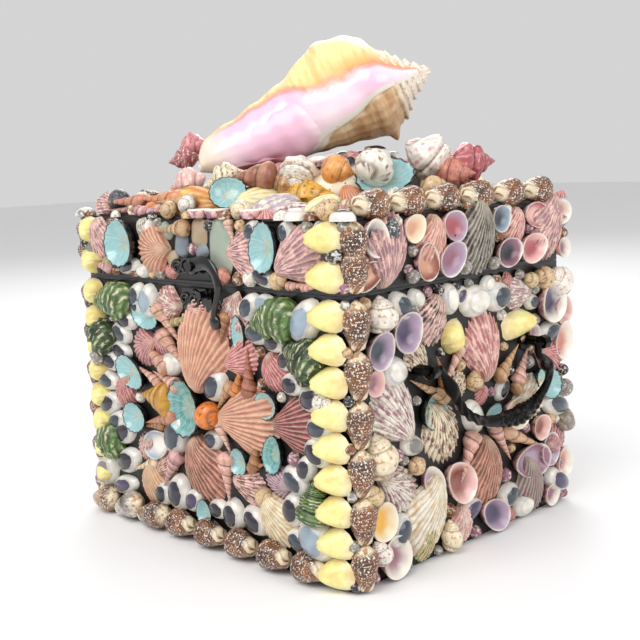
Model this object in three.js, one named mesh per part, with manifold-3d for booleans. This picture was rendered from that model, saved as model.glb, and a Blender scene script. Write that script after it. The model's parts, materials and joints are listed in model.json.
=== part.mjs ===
// A shell box: a hollow wooden casket with a hinged lid, painted black and faced all over with
// sea shells set in a thin bed of black glue. A queen conch stands on the lid. A black hook latch
// closes the front and a cast drop bail hangs on each side.
// Millimetres, +Z up. X runs along the front from left to right and Y runs from front to back.
// The origin is the middle of the underside.
import * as THREE from 'three';
import { mergeVertices } from 'three/addons/utils/BufferGeometryUtils.js';
import Module from 'manifold-3d';

const wasm = await Module();
wasm.setup();

// ---------------------------------------------------------------- driving dimensions
const WIDTH = 296; // wooden carcase along X
const DEPTH = 252; // wooden carcase along Y
const BODY = 203; // height of the carcase up to the seam
const LID = 50; // height of the wooden lid
const WALL = 9; // thickness of every wooden wall
const FIT = 0.3; // gap between pieces that touch
const BED = 2.5; // thickness of the glue bed
const SUNK = 0.8; // height of a shell's foot inside the bed
const SEAM = 1.2; // half of the bare gap between body facing and lid facing
const RIM = 12; // how far a shell may stand off the wood
const COLUMN = 23; // width of a corner column of shells
const BASE_ROW = 24; // height of the row along the bottom of the front
const HINGE_STRIP = 14; // bare wood above and below the seam at the back
const HINGE_Y = DEPTH / 2 + 3.5; // hinge axis behind the carcase
const HINGE_X = 84; // each hinge from the middle
const HANDLE_Z = 145; // pivots of the drop bails
const HANDLE_Y = [-62, 74]; // front and back post of a bail
const HANDLE_OUT = 21; // pivot line from the side wall
// The bail's bow from one knee to the other: along the wall from the middle and down from the
// pivots, with the rod's radius.
const BAIL = [[-61, -1, 3.2], [-56, 5, 3], [-47, 22, 5.6], [-36, 42, 3.4], [-16, 60, 3.6], [10, 67, 5],
  [36, 68, 7.5], [60, 58, 4.5], [76, 41, 3.2], [73, 25, 5.6], [62, 12, 3], [61, -1, 3.2]]
  .map(([along, drop, radius]) => ({ at: [along, drop], radius }));
const BAIL_ROD = 3.6; // its radius between those
const LATCH = { x: 5, z: 218, out: 10.5 }; // hook pivot and the hook's middle plane off the wood
const STUD = { x: 13, z: 197, r: 3 }; // post on the body that stops the hook
const SWEEP = { radius: 54, out: 7.5 }; // the hook's reach from its pivot, and how high shells stay there
const CONCH = { length: 204, tilt: 20.6, s: -95, z: 288 }; // long axis, its slope, siphon end

const LID_Z = BODY + FIT; // underside of the lid
const TOP_Z = LID_Z + LID; // upper face of the wooden lid
const BODY_BAND = [1, BODY - SEAM]; // heights that the body facings cover
const LID_BAND = [LID_Z + SEAM, TOP_Z - 0.4]; // heights that the lid's side facings cover
const DEG = Math.PI / 180;

// ---------------------------------------------------------------- finishes
const finish = (color, roughness, metalness = 0) =>
  new THREE.MeshStandardMaterial({ color, roughness, metalness });
const FINISH = {
  wood: finish(0x0b0a0a, 0.45),
  mixed: finish(0xb9958c, 0.5),
  cockle: finish(0xe9e19a, 0.55),
  spotted: finish(0x8a6242, 0.5),
  turban: finish(0x3f5a3c, 0.5),
  scallop: finish(0xc98069, 0.55),
  limpet: finish(0x6fb3b8, 0.3),
  pale: finish(0xe6dccf, 0.45),
  orange: finish(0xe6a262, 0.5),
  conch: finish(0xeec9b4, 0.4),
  iron: finish(0x0d0d0e, 0.25, 0.6),
  bronze: finish(0x2b2620, 0.35, 0.8),
};

// ---------------------------------------------------------------- solids
// A closed geometry as a solid, without the triangles that a pole leaves empty.
function solid(geometry) {
  const bare = geometry.clone();
  bare.deleteAttribute('normal');
  bare.deleteAttribute('uv');
  const merged = mergeVertices(bare, 1e-4);
  const index = merged.index.array;
  const kept = [];
  for (let i = 0; i < index.length; i += 3) {
    const [a, b, c] = [index[i], index[i + 1], index[i + 2]];
    if (a !== b && b !== c && c !== a) kept.push(a, b, c);
  }
  return new wasm.Manifold(new wasm.Mesh({
    numProp: 3,
    vertProperties: new Float32Array(merged.attributes.position.array),
    triVerts: new Uint32Array(kept),
  }));
}

const join = (solids) => solids.reduce((sum, each) => sum.add(each));

function geometryOf(body) {
  const mesh = body.getMesh();
  const geometry = new THREE.BufferGeometry();
  geometry.setAttribute('position', new THREE.BufferAttribute(new Float32Array(mesh.vertProperties), 3));
  geometry.setIndex(new THREE.BufferAttribute(new Uint32Array(mesh.triVerts), 1));
  geometry.computeVertexNormals();
  return geometry;
}

// A box between two corners.
function block([x0, y0, z0], [x1, y1, z1]) {
  const geometry = new THREE.BoxGeometry(x1 - x0, y1 - y0, z1 - z0);
  return solid(geometry.translate((x0 + x1) / 2, (y0 + y1) / 2, (z0 + z1) / 2));
}

// A round bar from one point to another.
function bar(from, to, radius, sides = 10, endRadius = radius) {
  const a = new THREE.Vector3(...from);
  const b = new THREE.Vector3(...to);
  const geometry = new THREE.CylinderGeometry(endRadius, radius, a.distanceTo(b), sides);
  const turn = new THREE.Quaternion().setFromUnitVectors(
    new THREE.Vector3(0, 1, 0), b.clone().sub(a).normalize());
  const middle = a.clone().add(b).multiplyScalar(0.5);
  return solid(geometry.applyQuaternion(turn).translate(middle.x, middle.y, middle.z));
}

function ball([x, y, z], radius, sides = 6) {
  return solid(new THREE.SphereGeometry(radius, sides, sides - 2).translate(x, y, z));
}

// Rings of equal point counts, one above the other, closed by a tip at each end.
function rings(loops, low, high) {
  const n = loops[0].length;
  const points = [low, ...loops.flat(), high];
  const last = points.length - 1;
  const faces = [];
  for (let i = 0; i < n; i += 1) {
    const j = (i + 1) % n;
    faces.push(0, 1 + j, 1 + i);
    faces.push(last, last - n + i, last - n + j);
    for (let k = 0; k + 1 < loops.length; k += 1) {
      const a = 1 + k * n;
      faces.push(a + i, a + j, a + n + j, a + i, a + n + j, a + n + i);
    }
  }
  const geometry = new THREE.BufferGeometry();
  geometry.setAttribute('position', new THREE.BufferAttribute(new Float32Array(points.flat()), 3));
  geometry.setIndex(faces);
  return solid(geometry);
}

// ---------------------------------------------------------------- shells
// Outlines seen from above, counter-clockwise, in a box of width w and height h.
const oval = (w, h, n = 6) => Array.from({ length: n }, (_, i) => {
  const a = (i + 0.5) * 2 * Math.PI / n;
  return [w / 2 * Math.cos(a), h / 2 * Math.sin(a)];
});
const fanOutline = (w, h) => {
  const rim = [-10, 55, 125, 190].map((a) => a * DEG)
    .map((a) => [w / 2 * Math.cos(a), h * (0.1 + 0.4 * Math.sin(a))]);
  return [[-w * 0.13, -h / 2], [w * 0.13, -h / 2], ...rim];
};
const kiteOutline = (w, h) => [
  [0, h / 2], [-w / 2, -h * 0.25], [-w * 0.28, -h / 2], [w * 0.28, -h / 2], [w / 2, -h * 0.25]];

// Each kind: its outline, how high it stands for its width, the share of width and of height of
// its shoulder, and its highest or, in an open shell, its lowest point as a share of h and height.
const KINDS = {
  fan: { outline: fanOutline, rise: (w) => 4 + w * 0.13, shoulder: [0.7, 0.72], tip: [-0.12, 1] },
  cowrie: { outline: (w, h) => oval(w, h, 5), rise: (w) => 4 + w * 0.28, shoulder: [0.6, 1], tip: [0, 1] },
  snail: { outline: oval, rise: (w) => 4 + w * 0.34, shoulder: [0.78, 0.66], tip: [0.08, 1] },
  cup: { outline: oval, rise: (w) => 4 + w * 0.16, shoulder: [1, 0.98], tip: [-0.05, 0.45] },
  auger: { outline: kiteOutline, rise: (w) => 2 + w * 0.55, shoulder: [0.5, 0.85], tip: [-0.3, 1] },
  spotted: { outline: oval, rise: (w) => 4 + w * 0.32, shoulder: [0.62, 1], tip: [0, 1] },
  cockle: { outline: oval, rise: (w) => 3 + w * 0.36, shoulder: [0.62, 1], tip: [0, 1] },
};

// A shell [u, v, w, h, turn, lift] lying on a face. Its foot is sunk in the bed or, for a shell
// that is a piece of its own, rests on it. A lift stands it on a filled core of that height.
function shell(kind, at, foot = SUNK) {
  const { outline, rise, shoulder, tip } = KINDS[kind];
  const [, , w, h, , lift = 0] = at;
  const middle = tip[0] * h;
  const level = (share) => BED + lift + rise(w) * share;
  const loop = (share, z) => place(at, outline(w, h).map(([x, y]) =>
    [x * share, middle + (y - middle) * share, z]));
  const core = lift ? [loop(0.8, foot), loop(1, BED + lift)] : [loop(1, foot)];
  const [low, high] = place(at, [[0, middle, foot], [0, middle, level(tip[1])]]);
  return rings([...core, loop(shoulder[0], level(shoulder[1]))], low, high);
}

// The upright room that a shell of its own needs in a facing, with a margin round its outline.
function pocket(kind, at) {
  const [, , w, h] = at;
  const loop = (z) => place(at, KINDS[kind].outline(w + 3 * FIT, h + 3 * FIT).map(([x, y]) => [x, y, z]));
  const [low, high] = place(at, [[0, 0, BED], [0, 0, BED + 3 * RIM]]);
  return rings([loop(BED), loop(BED + 3 * RIM)], low, high);
}

// Points of a shell's own frame turned and moved to its place on a face.
function place([u, v, , , turn = 0], points) {
  const [c, s] = [Math.cos(turn * DEG), Math.sin(turn * DEG)];
  return points.map(([x, y, z]) => [u + x * c - y * s, v + x * s + y * c, z]);
}

// Shells of equal size along a straight row, turned alike.
const row = (from, to, count, w, h, turn = 0) => Array.from({ length: count }, (_, i) => {
  const t = count > 1 ? i / (count - 1) : 0.5;
  return [from[0] + (to[0] - from[0]) * t, from[1] + (to[1] - from[1]) * t, w, h, turn];
});

// Shells along a smooth string through a few knots, each lying across it.
function string(knots, count, w, h) {
  const curve = new THREE.CatmullRomCurve3(knots.map(([u, v]) => new THREE.Vector3(u, v, 0)));
  return Array.from({ length: count }, (_, i) => {
    const at = curve.getPointAt((i + 0.5) / count);
    const along = curve.getTangentAt((i + 0.5) / count);
    return [at.x, at.y, w, h, Math.atan2(along.y, along.x) / DEG - 60];
  });
}

// Pointed shells that radiate from a centre, points outwards.
const rays = ([u, v], angles, start, length, w) => angles.map((angle) => {
  const middle = start + length / 2;
  return [u + middle * Math.cos(angle * DEG), v + middle * Math.sin(angle * DEG), w, length, angle - 90];
});

const mirrored = (list) => list.map(([u, v, w, h, turn = 0]) => [-u, v, w, h, -turn]);
const fuller = (layout, share) => Object.fromEntries(
  Object.entries(layout).map(([kind, list]) => [kind, list.map(([u, v, w, h, ...rest]) =>
    [u, v, w * share, h * share, ...rest])]));
const flip = (layout) => Object.fromEntries(
  Object.entries(layout).map(([kind, list]) => [kind, mirrored(list)]));

// ---------------------------------------------------------------- facings
// The room of a facing: u and v ranges, with ends at the box's corners leaning out at 45 degrees.
function room([u0, u1], [v0, v1], half) {
  const top = RIM * 2.5;
  const geometry = new THREE.BoxGeometry(2, 2, 2);
  const position = geometry.attributes.position;
  const corner = half + FIT - 0.25;
  for (let i = 0; i < position.count; i += 1) {
    const high = position.getZ(i) > 0;
    const end = position.getX(i) > 0 ? u1 : u0;
    const leaning = Math.abs(end) > half;
    const u = leaning ? Math.sign(end) * (corner + (high ? top : 0)) : end;
    position.setXYZ(i, u, position.getY(i) > 0 ? v1 : v0, high ? top : 0);
  }
  return solid(geometry);
}

// A glue bed over a room with its shells, cut to the room and clear of the pieces named in around.
function facing(layout, ranges, bands, half, around = []) {
  const space = room(ranges, bands, half);
  const bed = block([ranges[0], bands[0], 0], [ranges[1], bands[1], BED]);
  const shells = Object.entries(layout).flatMap(([kind, list]) => list.map((each) => shell(kind, each)));
  let whole = join([bed, ...shells]).intersect(space);
  for (const each of around) whole = whole.subtract(each);
  return whole;
}

// Shells that are pieces of their own, in order, each cut clear of those before it.
function singles(list) {
  return list.map(({ name, kind, at, look }, i) => {
    const before = list.slice(0, i).map((each) => pocket(each.kind, each.at));
    return { name, look, body: before.reduce((left, each) => left.subtract(each), shell(kind, at, BED + FIT)) };
  });
}
const pockets = (list) => list.map(({ kind, at }) => pocket(kind, at));

// ---------------------------------------------------------------- layouts
const half = { front: WIDTH / 2, side: DEPTH / 2 };
const FLOWER = [0, 106]; // middle of the front's flower
const columnAt = half.front - COLUMN / 2 + 5;

const flower = [
  { name: 'flower_scallop_top', kind: 'fan', at: [4, 152, 54, 58, 0], look: 'scallop' },
  { name: 'flower_scallop_right', kind: 'fan', at: [49, 107, 54, 50, -90], look: 'scallop' },
  { name: 'flower_scallop_bottom', kind: 'fan', at: [-8, 62, 46, 44, 172], look: 'scallop' },
  { name: 'flower_trochus_left', kind: 'auger', at: [-52, 112, 28, 42, 90], look: 'orange' },
  { name: 'flower_limpet', kind: 'cup', at: [-16, 106, 32, 38], look: 'limpet' },
  { name: 'flower_snail', kind: 'snail', at: [11, 104, 20, 18, -90], look: 'orange' },
];
const turbans = [[-106, 186, 36, 28, 60], [-130, 155, 30, 28, 60], [-133, 63, 32, 30, 60],
  [82, 184, 42, 30, 70], [112, 160, 32, 30, 50], [121, 60, 26, 26, 50]]
  .map((at, i) => ({ name: `green_turban_${i + 1}`, kind: 'snail', at, look: 'turban' }));

const cowrieKnots = [[-80, 188], [-101, 146], [-122, 108], [-104, 46]];
const cowries = string(cowrieKnots, 6, 18, 24);
const frontBody = {
  cowrie: [...cowries, ...mirrored(cowries), ...row([-46, 34], [54, 34], 4, 20, 16)],
  fan: [[-40, 189, 26, 24, 170], [48, 188, 22, 24, 180], [-66, 156, 28, 28, 60], [102, 112, 34, 34, -90],
    [-102, 108, 26, 26, 90], [-66, 40, 34, 28, 180], [80, 38, 36, 26, 180], [44, 60, 24, 24, 150]],
  cup: [[-66, 182, 24, 18, 0], [-86, 130, 28, 20, 60], [76, 84, 17, 24, 0]],
  auger: [...rays(FLOWER, [128, 145], 34, 42, 11), ...rays(FLOWER, [50, 34], 34, 38, 11),
    ...rays(FLOWER, [214], 34, 44, 14), ...rays(FLOWER, [-40], 34, 34, 12)],
};
const frontLid = {
  fan: [[-112, 234, 26, 30, 90], [-50, 230, 34, 34, 0], [56, 230, 32, 32, 60], [109, 229, 36, 36, -60]],
  cup: [[-84, 235, 28, 30, 0], [82, 234, 20, 30, 0]],
  cowrie: [[-80, 212, 18, 14, 0], [-14, 238, 20, 17, 0], [26, 240, 24, 20, 0]],
};
const SIDE_STAR = [8, 94]; // middle of the side's star of augers
const sideBody = {
  fan: [[-40, 177, 30, 30, 180], [20, 148, 40, 44, 10], [-84, 117, 42, 36, 60], [-36, 95, 38, 42, 80],
    [80, 99, 36, 36, -80], [18, 52, 40, 48, 180], [-54, 34, 44, 36, 160], [76, 24, 40, 30, 190],
    [106, 128, 26, 34, -90]],
  cup: [[-76, 176, 26, 26, 0], [-98, 150, 22, 28, 0], [-18, 56, 22, 24, 0], [-94, 48, 26, 26, 0],
    [-90, 14, 26, 20, 0], [98, 172, 24, 28, 0], [78, 58, 36, 20, 0], [116, 38, 22, 26, 0]],
  snail: [[-100, 88, 24, 22, 0], [-12, 188, 22, 18, 0], [30, 186, 26, 22, 0], [-14, 160, 22, 20, 0],
    [62, 162, 28, 22, 0], [112, 76, 22, 26, 0], [20, 12, 26, 18, 0]],
  auger: [...rays(SIDE_STAR, [132], 34, 40, 12), ...rays(SIDE_STAR, [46], 34, 40, 12),
    ...rays(SIDE_STAR, [-35], 34, 46, 12)],
};
const sideLid = {
  fan: [[-84, 222, 40, 34, 90], [-40, 226, 30, 30, 0], [14, 224, 44, 36, 90], [60, 230, 26, 26, 0],
    [98, 221, 42, 34, 80]],
  cup: row([-60, 245], [120, 245], 4, 22, 13),
};
const backBody = {
  fan: [[0, 138, 46, 48, 0], [46, 100, 46, 46, -90], [0, 60, 46, 46, 180], [-46, 100, 46, 46, 90],
    [-100, 160, 36, 34, 0], [100, 160, 36, 34, 0], [-100, 36, 36, 34, 180], [100, 36, 36, 34, 180]],
  cup: [[-102, 98, 32, 34, 0], [102, 98, 32, 34, 0]],
};
const backLid = { fan: row([-108, 234], [108, 234], 5, 36, 28) };

// ---------------------------------------------------------------- pieces
const group = new THREE.Group();

function add(parent, name, body, look) {
  const mesh = new THREE.Mesh(geometryOf(body), FINISH[look]);
  mesh.name = name;
  parent.add(mesh);
}

// A group whose local x, y and z run along, up and out of one wall.
function wall(turn, out) {
  const side = new THREE.Group();
  side.rotation.set(90 * DEG, 0, turn * DEG, 'ZYX');
  side.position.set(out * Math.sin(turn * DEG), -out * Math.cos(turn * DEG), 0);
  group.add(side);
  return side;
}

function woodwork() {
  const [x, y] = [WIDTH / 2, DEPTH / 2];
  const inner = [x - WALL, y - WALL];
  const carcase = block([-x, -y, 0], [x, y, BODY])
    .subtract(block([-inner[0], -inner[1], WALL], [inner[0], inner[1], BODY + 1]));
  const lid = block([-x, -y, LID_Z], [x, y, TOP_Z])
    .subtract(block([-inner[0], -inner[1], LID_Z - 1], [inner[0], inner[1], TOP_Z - WALL]));
  add(group, 'carcase', carcase, 'wood');
  add(group, 'lid_case', lid, 'wood');
}

function frontFacing() {
  const side = wall(0, DEPTH / 2 + FIT);
  const edge = half.front - COLUMN + 6;
  const pieces = [...flower, ...turbans];
  const around = pockets(pieces);
  // The half disc that the hook crosses when it is lifted.
  const { x, z } = LATCH;
  const disc = bar([x, z, SWEEP.out], [x, z, 3 * RIM], SWEEP.radius, 16);
  const swept = disc.intersect(block([x - 8, 0, 0], [x + SWEEP.radius, 3 * BODY, 3 * RIM]));
  const bodyField = [BODY_BAND[0] + BASE_ROW, BODY_BAND[1]];
  const body = facing(fuller(frontBody, 1.15), [-edge, edge], bodyField, half.front, [...around, swept]);
  const lid = facing(fuller(frontLid, 1.15), [-edge, edge], LID_BAND, half.front, [swept]);
  add(side, 'front_field', body, 'mixed');
  add(side, 'lid_front_field', lid, 'mixed');
  const baseShells = { spotted: row([-114, 13], [114, 13], 8, 27, 20) };
  const baseBand = [BODY_BAND[0], BODY_BAND[0] + BASE_ROW - FIT];
  add(side, 'front_base_row', facing(baseShells, [-edge, edge], baseBand, half.front, around), 'spotted');
  for (const [name, sign] of [['left', -1], ['right', 1]]) {
    const range = sign < 0 ? [-half.front - RIM, -edge - FIT] : [edge + FIT, half.front + RIM];
    const at = sign * columnAt;
    const body = { cockle: row([at, 14], [at, 190], 9, COLUMN, 19) };
    const lid = { cockle: row([at, 215], [at, 240], 2, COLUMN, 21) };
    add(side, `cockles_${name}`, facing(body, range, BODY_BAND, half.front, around), 'cockle');
    add(side, `lid_cockles_${name}`, facing(lid, range, LID_BAND, half.front), 'cockle');
  }
  for (const { name, look, body } of singles(pieces)) {
    const range = [[-half.front - RIM, half.front + RIM], [BODY_BAND[0], BODY_BAND[1]]];
    add(side, name, body.intersect(room(...range, half.front)), look);
  }
}

// One side of the box. The left side is the right side mirrored, without its small snails and its
// star of augers.
function sideFacing(name, sign) {
  const side = wall(90 * sign, WIDTH / 2 + FIT);
  const look = (layout) => (sign > 0 ? layout : flip({ ...layout, snail: [], auger: [] }));
  const range = (a, b) => (sign > 0 ? [a, b] : [-b, -a]);
  const edge = -half.side + COLUMN - 8;
  const posts = HANDLE_Y.map((y) => bar([y * sign, HANDLE_Z, -1], [y * sign, HANDLE_Z, 30], 11));
  const back = half.side + RIM;
  const relief = block([Math.min(sign * 126.2, sign * 150), BODY - HINGE_STRIP, 0],
    [Math.max(sign * 126.2, sign * 150), LID_Z + HINGE_STRIP, 40]);
  const clear = [relief, ...posts];
  const field = facing(look(fuller(sideBody, 1.2)), range(edge + FIT, back), BODY_BAND, half.side, clear);
  add(side, `${name}_field`, field, 'mixed');
  const lidField = facing(look(fuller(sideLid, 1.15)), range(edge + FIT, back), LID_BAND, half.side, clear);
  add(side, `lid_${name}_field`, lidField, 'mixed');
  const at = -half.side + 3;
  const column = { spotted: row([at, 16], [at, 187], 7, 18, 27) };
  const corner = facing(look(column), range(-half.side - RIM, edge), BODY_BAND, half.side);
  add(side, `${name}_corner_column`, corner, 'spotted');
  const lidColumn = { spotted: row([at, 222], [at, 240], 2, 18, 24) };
  const lidCorner = facing(look(lidColumn), range(-half.side - RIM, edge), LID_BAND, half.side);
  add(side, `lid_${name}_corner_column`, lidCorner, 'spotted');
}

function backFacing() {
  const side = wall(180, DEPTH / 2 + FIT);
  const range = [-half.front - RIM, half.front + RIM];
  const columns = (low, high, count) => ({
    cockle: [...row([columnAt, low], [columnAt, high], count, COLUMN, 20),
      ...row([-columnAt, low], [-columnAt, high], count, COLUMN, 20)],
  });
  const body = facing({ ...fuller(backBody, 1.25), ...columns(16, 172, 7) }, range,
    [BODY_BAND[0], BODY - HINGE_STRIP], half.front);
  const lid = facing({ ...fuller(backLid, 1.1), ...columns(232, 232, 1) }, range,
    [LID_Z + HINGE_STRIP, LID_BAND[1]], half.front);
  add(side, 'back_field', body, 'mixed');
  add(side, 'lid_back_field', lid, 'mixed');
}

// ---------------------------------------------------------------- conch
// Along its axis from the siphon end, as shares of the length: the radius of the body and how far
// the flared lip stands off the axis.
const CONCH_BODY = [[0, 4], [0.08, 12], [0.2, 18], [0.35, 23], [0.5, 27], [0.65, 31], [0.8, 34],
  [0.86, 31], [0.89, 20], [0.93, 15], [0.95, 9], [1, 1]];
const CONCH_LIP = [[0.02, 12], [0.12, 24], [0.24, 29], [0.36, 36], [0.5, 45], [0.64, 58], [0.74, 54],
  [0.81, 46]];

// A lathe round the conch's axis, grown by a margin.
function conchBody(margin = 0) {
  const points = CONCH_BODY.map(([t, r]) => new THREE.Vector2(r + margin, t * CONCH.length));
  const closed = [new THREE.Vector2(0, -margin), ...points, new THREE.Vector2(0, CONCH.length + margin)];
  return solid(new THREE.LatheGeometry(closed, 10).rotateZ(-90 * DEG));
}

// The flared lip: a sheet that starts low on the side of the opening, bows past the body and curls
// back at its edge. The body's radius at a share t of the length sets how far out it runs.
function conchLip() {
  const radius = (t) => {
    const i = CONCH_BODY.findIndex(([at]) => at >= t);
    const [[t0, r0], [t1, r1]] = [CONCH_BODY[Math.max(i - 1, 0)], CONCH_BODY[Math.max(i, 1)]];
    return r0 + (r1 - r0) * (t - t0) / (t1 - t0);
  };
  const section = ([t, reach]) => {
    const r = radius(t);
    const thick = 2.5 + 3 * t;
    const face = [[-r * 0.35, r * 0.95 + 1], [r * 0.45, r + 3], [(r + reach) / 2, r * 0.55 + 4],
      [reach, -2 - 8 * t]];
    const loop = [...face, ...face.map(([y, z]) => [y - 1, z - thick]).reverse()];
    return loop.map(([y, z]) => [t * CONCH.length, y, z]);
  };
  const loops = CONCH_LIP.map(section).map((loop) => loop.reverse());
  const middle = (loop) => [0, 1, 2].map((k) => loop.reduce((sum, p) => sum + p[k], 0) / loop.length);
  return rings(loops, middle(loops[0]), middle(loops.at(-1)));
}

function conchKnobs() {
  const [t, radius] = CONCH_BODY[7];
  return Array.from({ length: 7 }, (_, i) => {
    const a = (i * 40 - 150) * DEG;
    const at = (r, x) => [x, r * Math.cos(a), r * Math.sin(a)];
    return bar(at(radius - 8, t * CONCH.length), at(radius + 6, t * CONCH.length + 5), 7, 4, 1.5);
  });
}

function toConchFrame(body) {
  const turn = new THREE.Matrix4().makeRotationZ(45 * DEG)
    .multiply(new THREE.Matrix4().makeRotationX(90 * DEG))
    .multiply(new THREE.Matrix4().makeRotationZ(CONCH.tilt * DEG));
  const shift = CONCH.s * Math.SQRT1_2;
  turn.setPosition(shift, shift, CONCH.z - TOP_Z - FIT);
  return body.transform(turn.elements);
}

// ---------------------------------------------------------------- top of the lid
const topSingles = [
  { name: 'sunrise_clam', kind: 'fan', at: [-6, -110, 34, 44, 80], look: 'orange' },
  { name: 'top_limpet', kind: 'cup', at: [96, -12, 40, 30, 45], look: 'limpet' },
  { name: 'spotted_dome', kind: 'cowrie', at: [82, -58, 44, 40, 45], look: 'pale' },
  { name: 'ochre_strombus', kind: 'auger', at: [46, -98, 20, 42, -60], look: 'orange' },
];

function topOfLid() {
  const top = new THREE.Group();
  top.position.set(0, 0, TOP_Z + FIT);
  group.add(top);
  const body = toConchFrame(join([conchBody(), conchLip(), ...conchKnobs()]));
  add(top, 'queen_conch', body, 'conch');

  const edgeX = half.front - 17;
  const overhang = half.front + RIM;
  const [foot, brow] = [oval(186, 116, 10), oval(158, 66, 10)];
  const heap = [foot.map(([x, y]) => [x, y, SUNK]), brow.map(([x, y]) => [x, y, 34 + x * 0.14])];
  const along = [0, 0, 0, 0, 45];
  const mound = rings(heap.map((loop) => place(along, loop)), [0, 0, SUNK], ...place(along, [[36, 0, 54]]));
  const layout = {
    snail: [[-116, -108, 26, 24, 90], [38, -50, 30, 28, 0, 22], [56, -32, 24, 24, 0, 28],
      [70, -12, 30, 28, 0, 30], [72, 26, 38, 30, 45, 34], [112, 40, 30, 28, 0, 8], [-62, -84, 30, 26, 0, 12],
      ...row([-104, 112], [104, 112], 5, 34, 26), [-112, -66, 28, 28, 0], [-108, 64, 30, 30, 0]],
    fan: [[110, 78, 36, 36, -30, 10], [62, 88, 32, 30, 180], [-104, 0, 34, 36, 90], [-54, 84, 34, 36, 0]],
    auger: [[-72, -112, 18, 50, 80], [16, -76, 16, 36, -70, 16]],
    cowrie: [...row([36, -124], [110, -124], 3, 28, 18)],
  };
  const around = [...pockets(topSingles), toConchFrame(conchBody(FIT * 2))];
  const field = (shells, range, extra) => {
    const bed = block([range[0], -half.side - 2, 0], [range[1], half.side + 2, BED]);
    const parts = Object.entries(shells).flatMap(([kind, list]) => list.map((each) => shell(kind, each)));
    const far = half.side + RIM;
    const space = block([range[0] - extra[0], -far, 0], [range[1] + extra[1], far, 5 * RIM]);
    return join([bed, ...parts]).intersect(space);
  };
  let middle = field(layout, [-edgeX + FIT, edgeX - FIT], [0, 0]).add(mound);
  for (const each of around) middle = middle.subtract(each);
  add(top, 'lid_top_field', middle, 'mixed');
  for (const [name, sign] of [['right', 1], ['left', -1]]) {
    const shells = { spotted: row([sign * half.front, -108], [sign * half.front, 108], 6, 24, 32) };
    const range = sign > 0 ? [edgeX, half.front + 2] : [-half.front - 2, -edgeX];
    const out = overhang - half.front - 2;
    add(top, `lid_${name}_edge_row`, field(shells, range, sign > 0 ? [0, out] : [out, 0]), 'spotted');
  }
  for (const { name, look, body: each } of singles(topSingles)) add(top, name, each, look);
}

// ---------------------------------------------------------------- metalwork
// Two butt hinges: the body leaf carries the outer knuckles and the pin, the lid leaf the middle one.
function hinge(name, x) {
  const [knuckle, pin, bore, halfWidth, inner] = [3, 1.2, 1.7, 18, 7];
  const plane = DEPTH / 2 + FIT;
  const axisZ = BODY + FIT / 2;
  const along = (a, b, r) => bar([x + a, HINGE_Y, axisZ], [x + b, HINGE_Y, axisZ], r, 8);
  const plate = (a, b, low, high) => block([x + a, plane, low], [x + b, plane + 1.5, high]);
  const bodyLeaf = join([
    plate(-halfWidth, halfWidth, BODY - HINGE_STRIP + 2, axisZ - 3.5),
    plate(-halfWidth, -inner - FIT, axisZ - 4, axisZ - 1.6),
    plate(inner + FIT, halfWidth, axisZ - 4, axisZ - 1.6),
    along(-halfWidth, -inner - FIT, knuckle), along(inner + FIT, halfWidth, knuckle),
    along(-halfWidth + 1, halfWidth - 1, pin)]);
  const lidLeaf = join([
    plate(-halfWidth, halfWidth, axisZ + 3.5, LID_Z + HINGE_STRIP - 2),
    plate(-inner, inner, axisZ + 1.6, axisZ + 4),
    along(-inner, inner, knuckle)]).subtract(along(-inner - 1, inner + 1, bore));
  add(group, `${name}_body_leaf`, bodyLeaf, 'iron');
  add(group, `${name}_lid_leaf`, lidLeaf, 'iron');
}

// The latch in the front wall's frame: x along, y up, z out.
function latch() {
  const side = wall(0, DEPTH / 2 + FIT);
  const seat = BED + FIT;
  const back = LATCH.out - 2;
  const front = LATCH.out + 2;
  const pivot = (a, b, r, sides) => bar([LATCH.x, LATCH.z, a], [LATCH.x, LATCH.z, b], r, sides);
  const lidPlate = join([
    block([LATCH.x - 24, LATCH.z - 8, seat], [LATCH.x + 12, LATCH.z + 5, seat + 1.5]),
    pivot(seat + 1, back - FIT, 4, 10), pivot(seat + 1, front + 1, 2, 10),
    pivot(front + FIT, front + 2, 4, 10)]);
  add(side, 'latch_plate', lidPlate, 'iron');

  // The hook: a crescent of falling width from the pivot eye to a round thumb piece.
  const spine = new THREE.CatmullRomCurve3([[0, 0], [14, 3], [25, -4], [29, -15], [25, -27], [22, -35]]
    .map(([x, z]) => new THREE.Vector3(x, z, 0)));
  const widths = [5.5, 5.5, 5, 4.5, 3.5, 2.6, 3];
  const outer = [];
  const inner = [];
  widths.forEach((width, i) => {
    const at = spine.getPointAt(i / (widths.length - 1));
    const along = spine.getTangentAt(i / (widths.length - 1));
    outer.push(new THREE.Vector2(at.x - along.y * width, at.y + along.x * width));
    inner.unshift(new THREE.Vector2(at.x + along.y * width, at.y - along.x * width));
  });
  const crescent = new THREE.ExtrudeGeometry(new THREE.Shape([...outer, ...inner]),
    { depth: 4, bevelEnabled: false, steps: 1 }).translate(LATCH.x, LATCH.z, back);
  const thumb = [LATCH.x + 23, LATCH.z - 40, LATCH.out];
  const hook = join([solid(crescent), pivot(back, front, 6.5, 12), ball(thumb, 6)])
    .subtract(pivot(back - 5, front + 5, 2.4, 12))
    .intersect(block([-60, 0, back - 0.5], [90, 300, front + 4]));
  add(side, 'latch_hook', hook, 'iron');

  const stud = (a, b, r) => bar([STUD.x, STUD.z, a], [STUD.x, STUD.z, b], r, 10);
  const catchPlate = join([
    block([STUD.x - 30, STUD.z - 13, seat], [STUD.x + 5, STUD.z + 3.5, seat + 1.5]),
    stud(seat + 1, front, STUD.r), stud(seat + 1, seat + 4, STUD.r + 1.5)]);
  add(side, 'catch_plate', catchPlate, 'iron');
}

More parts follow.
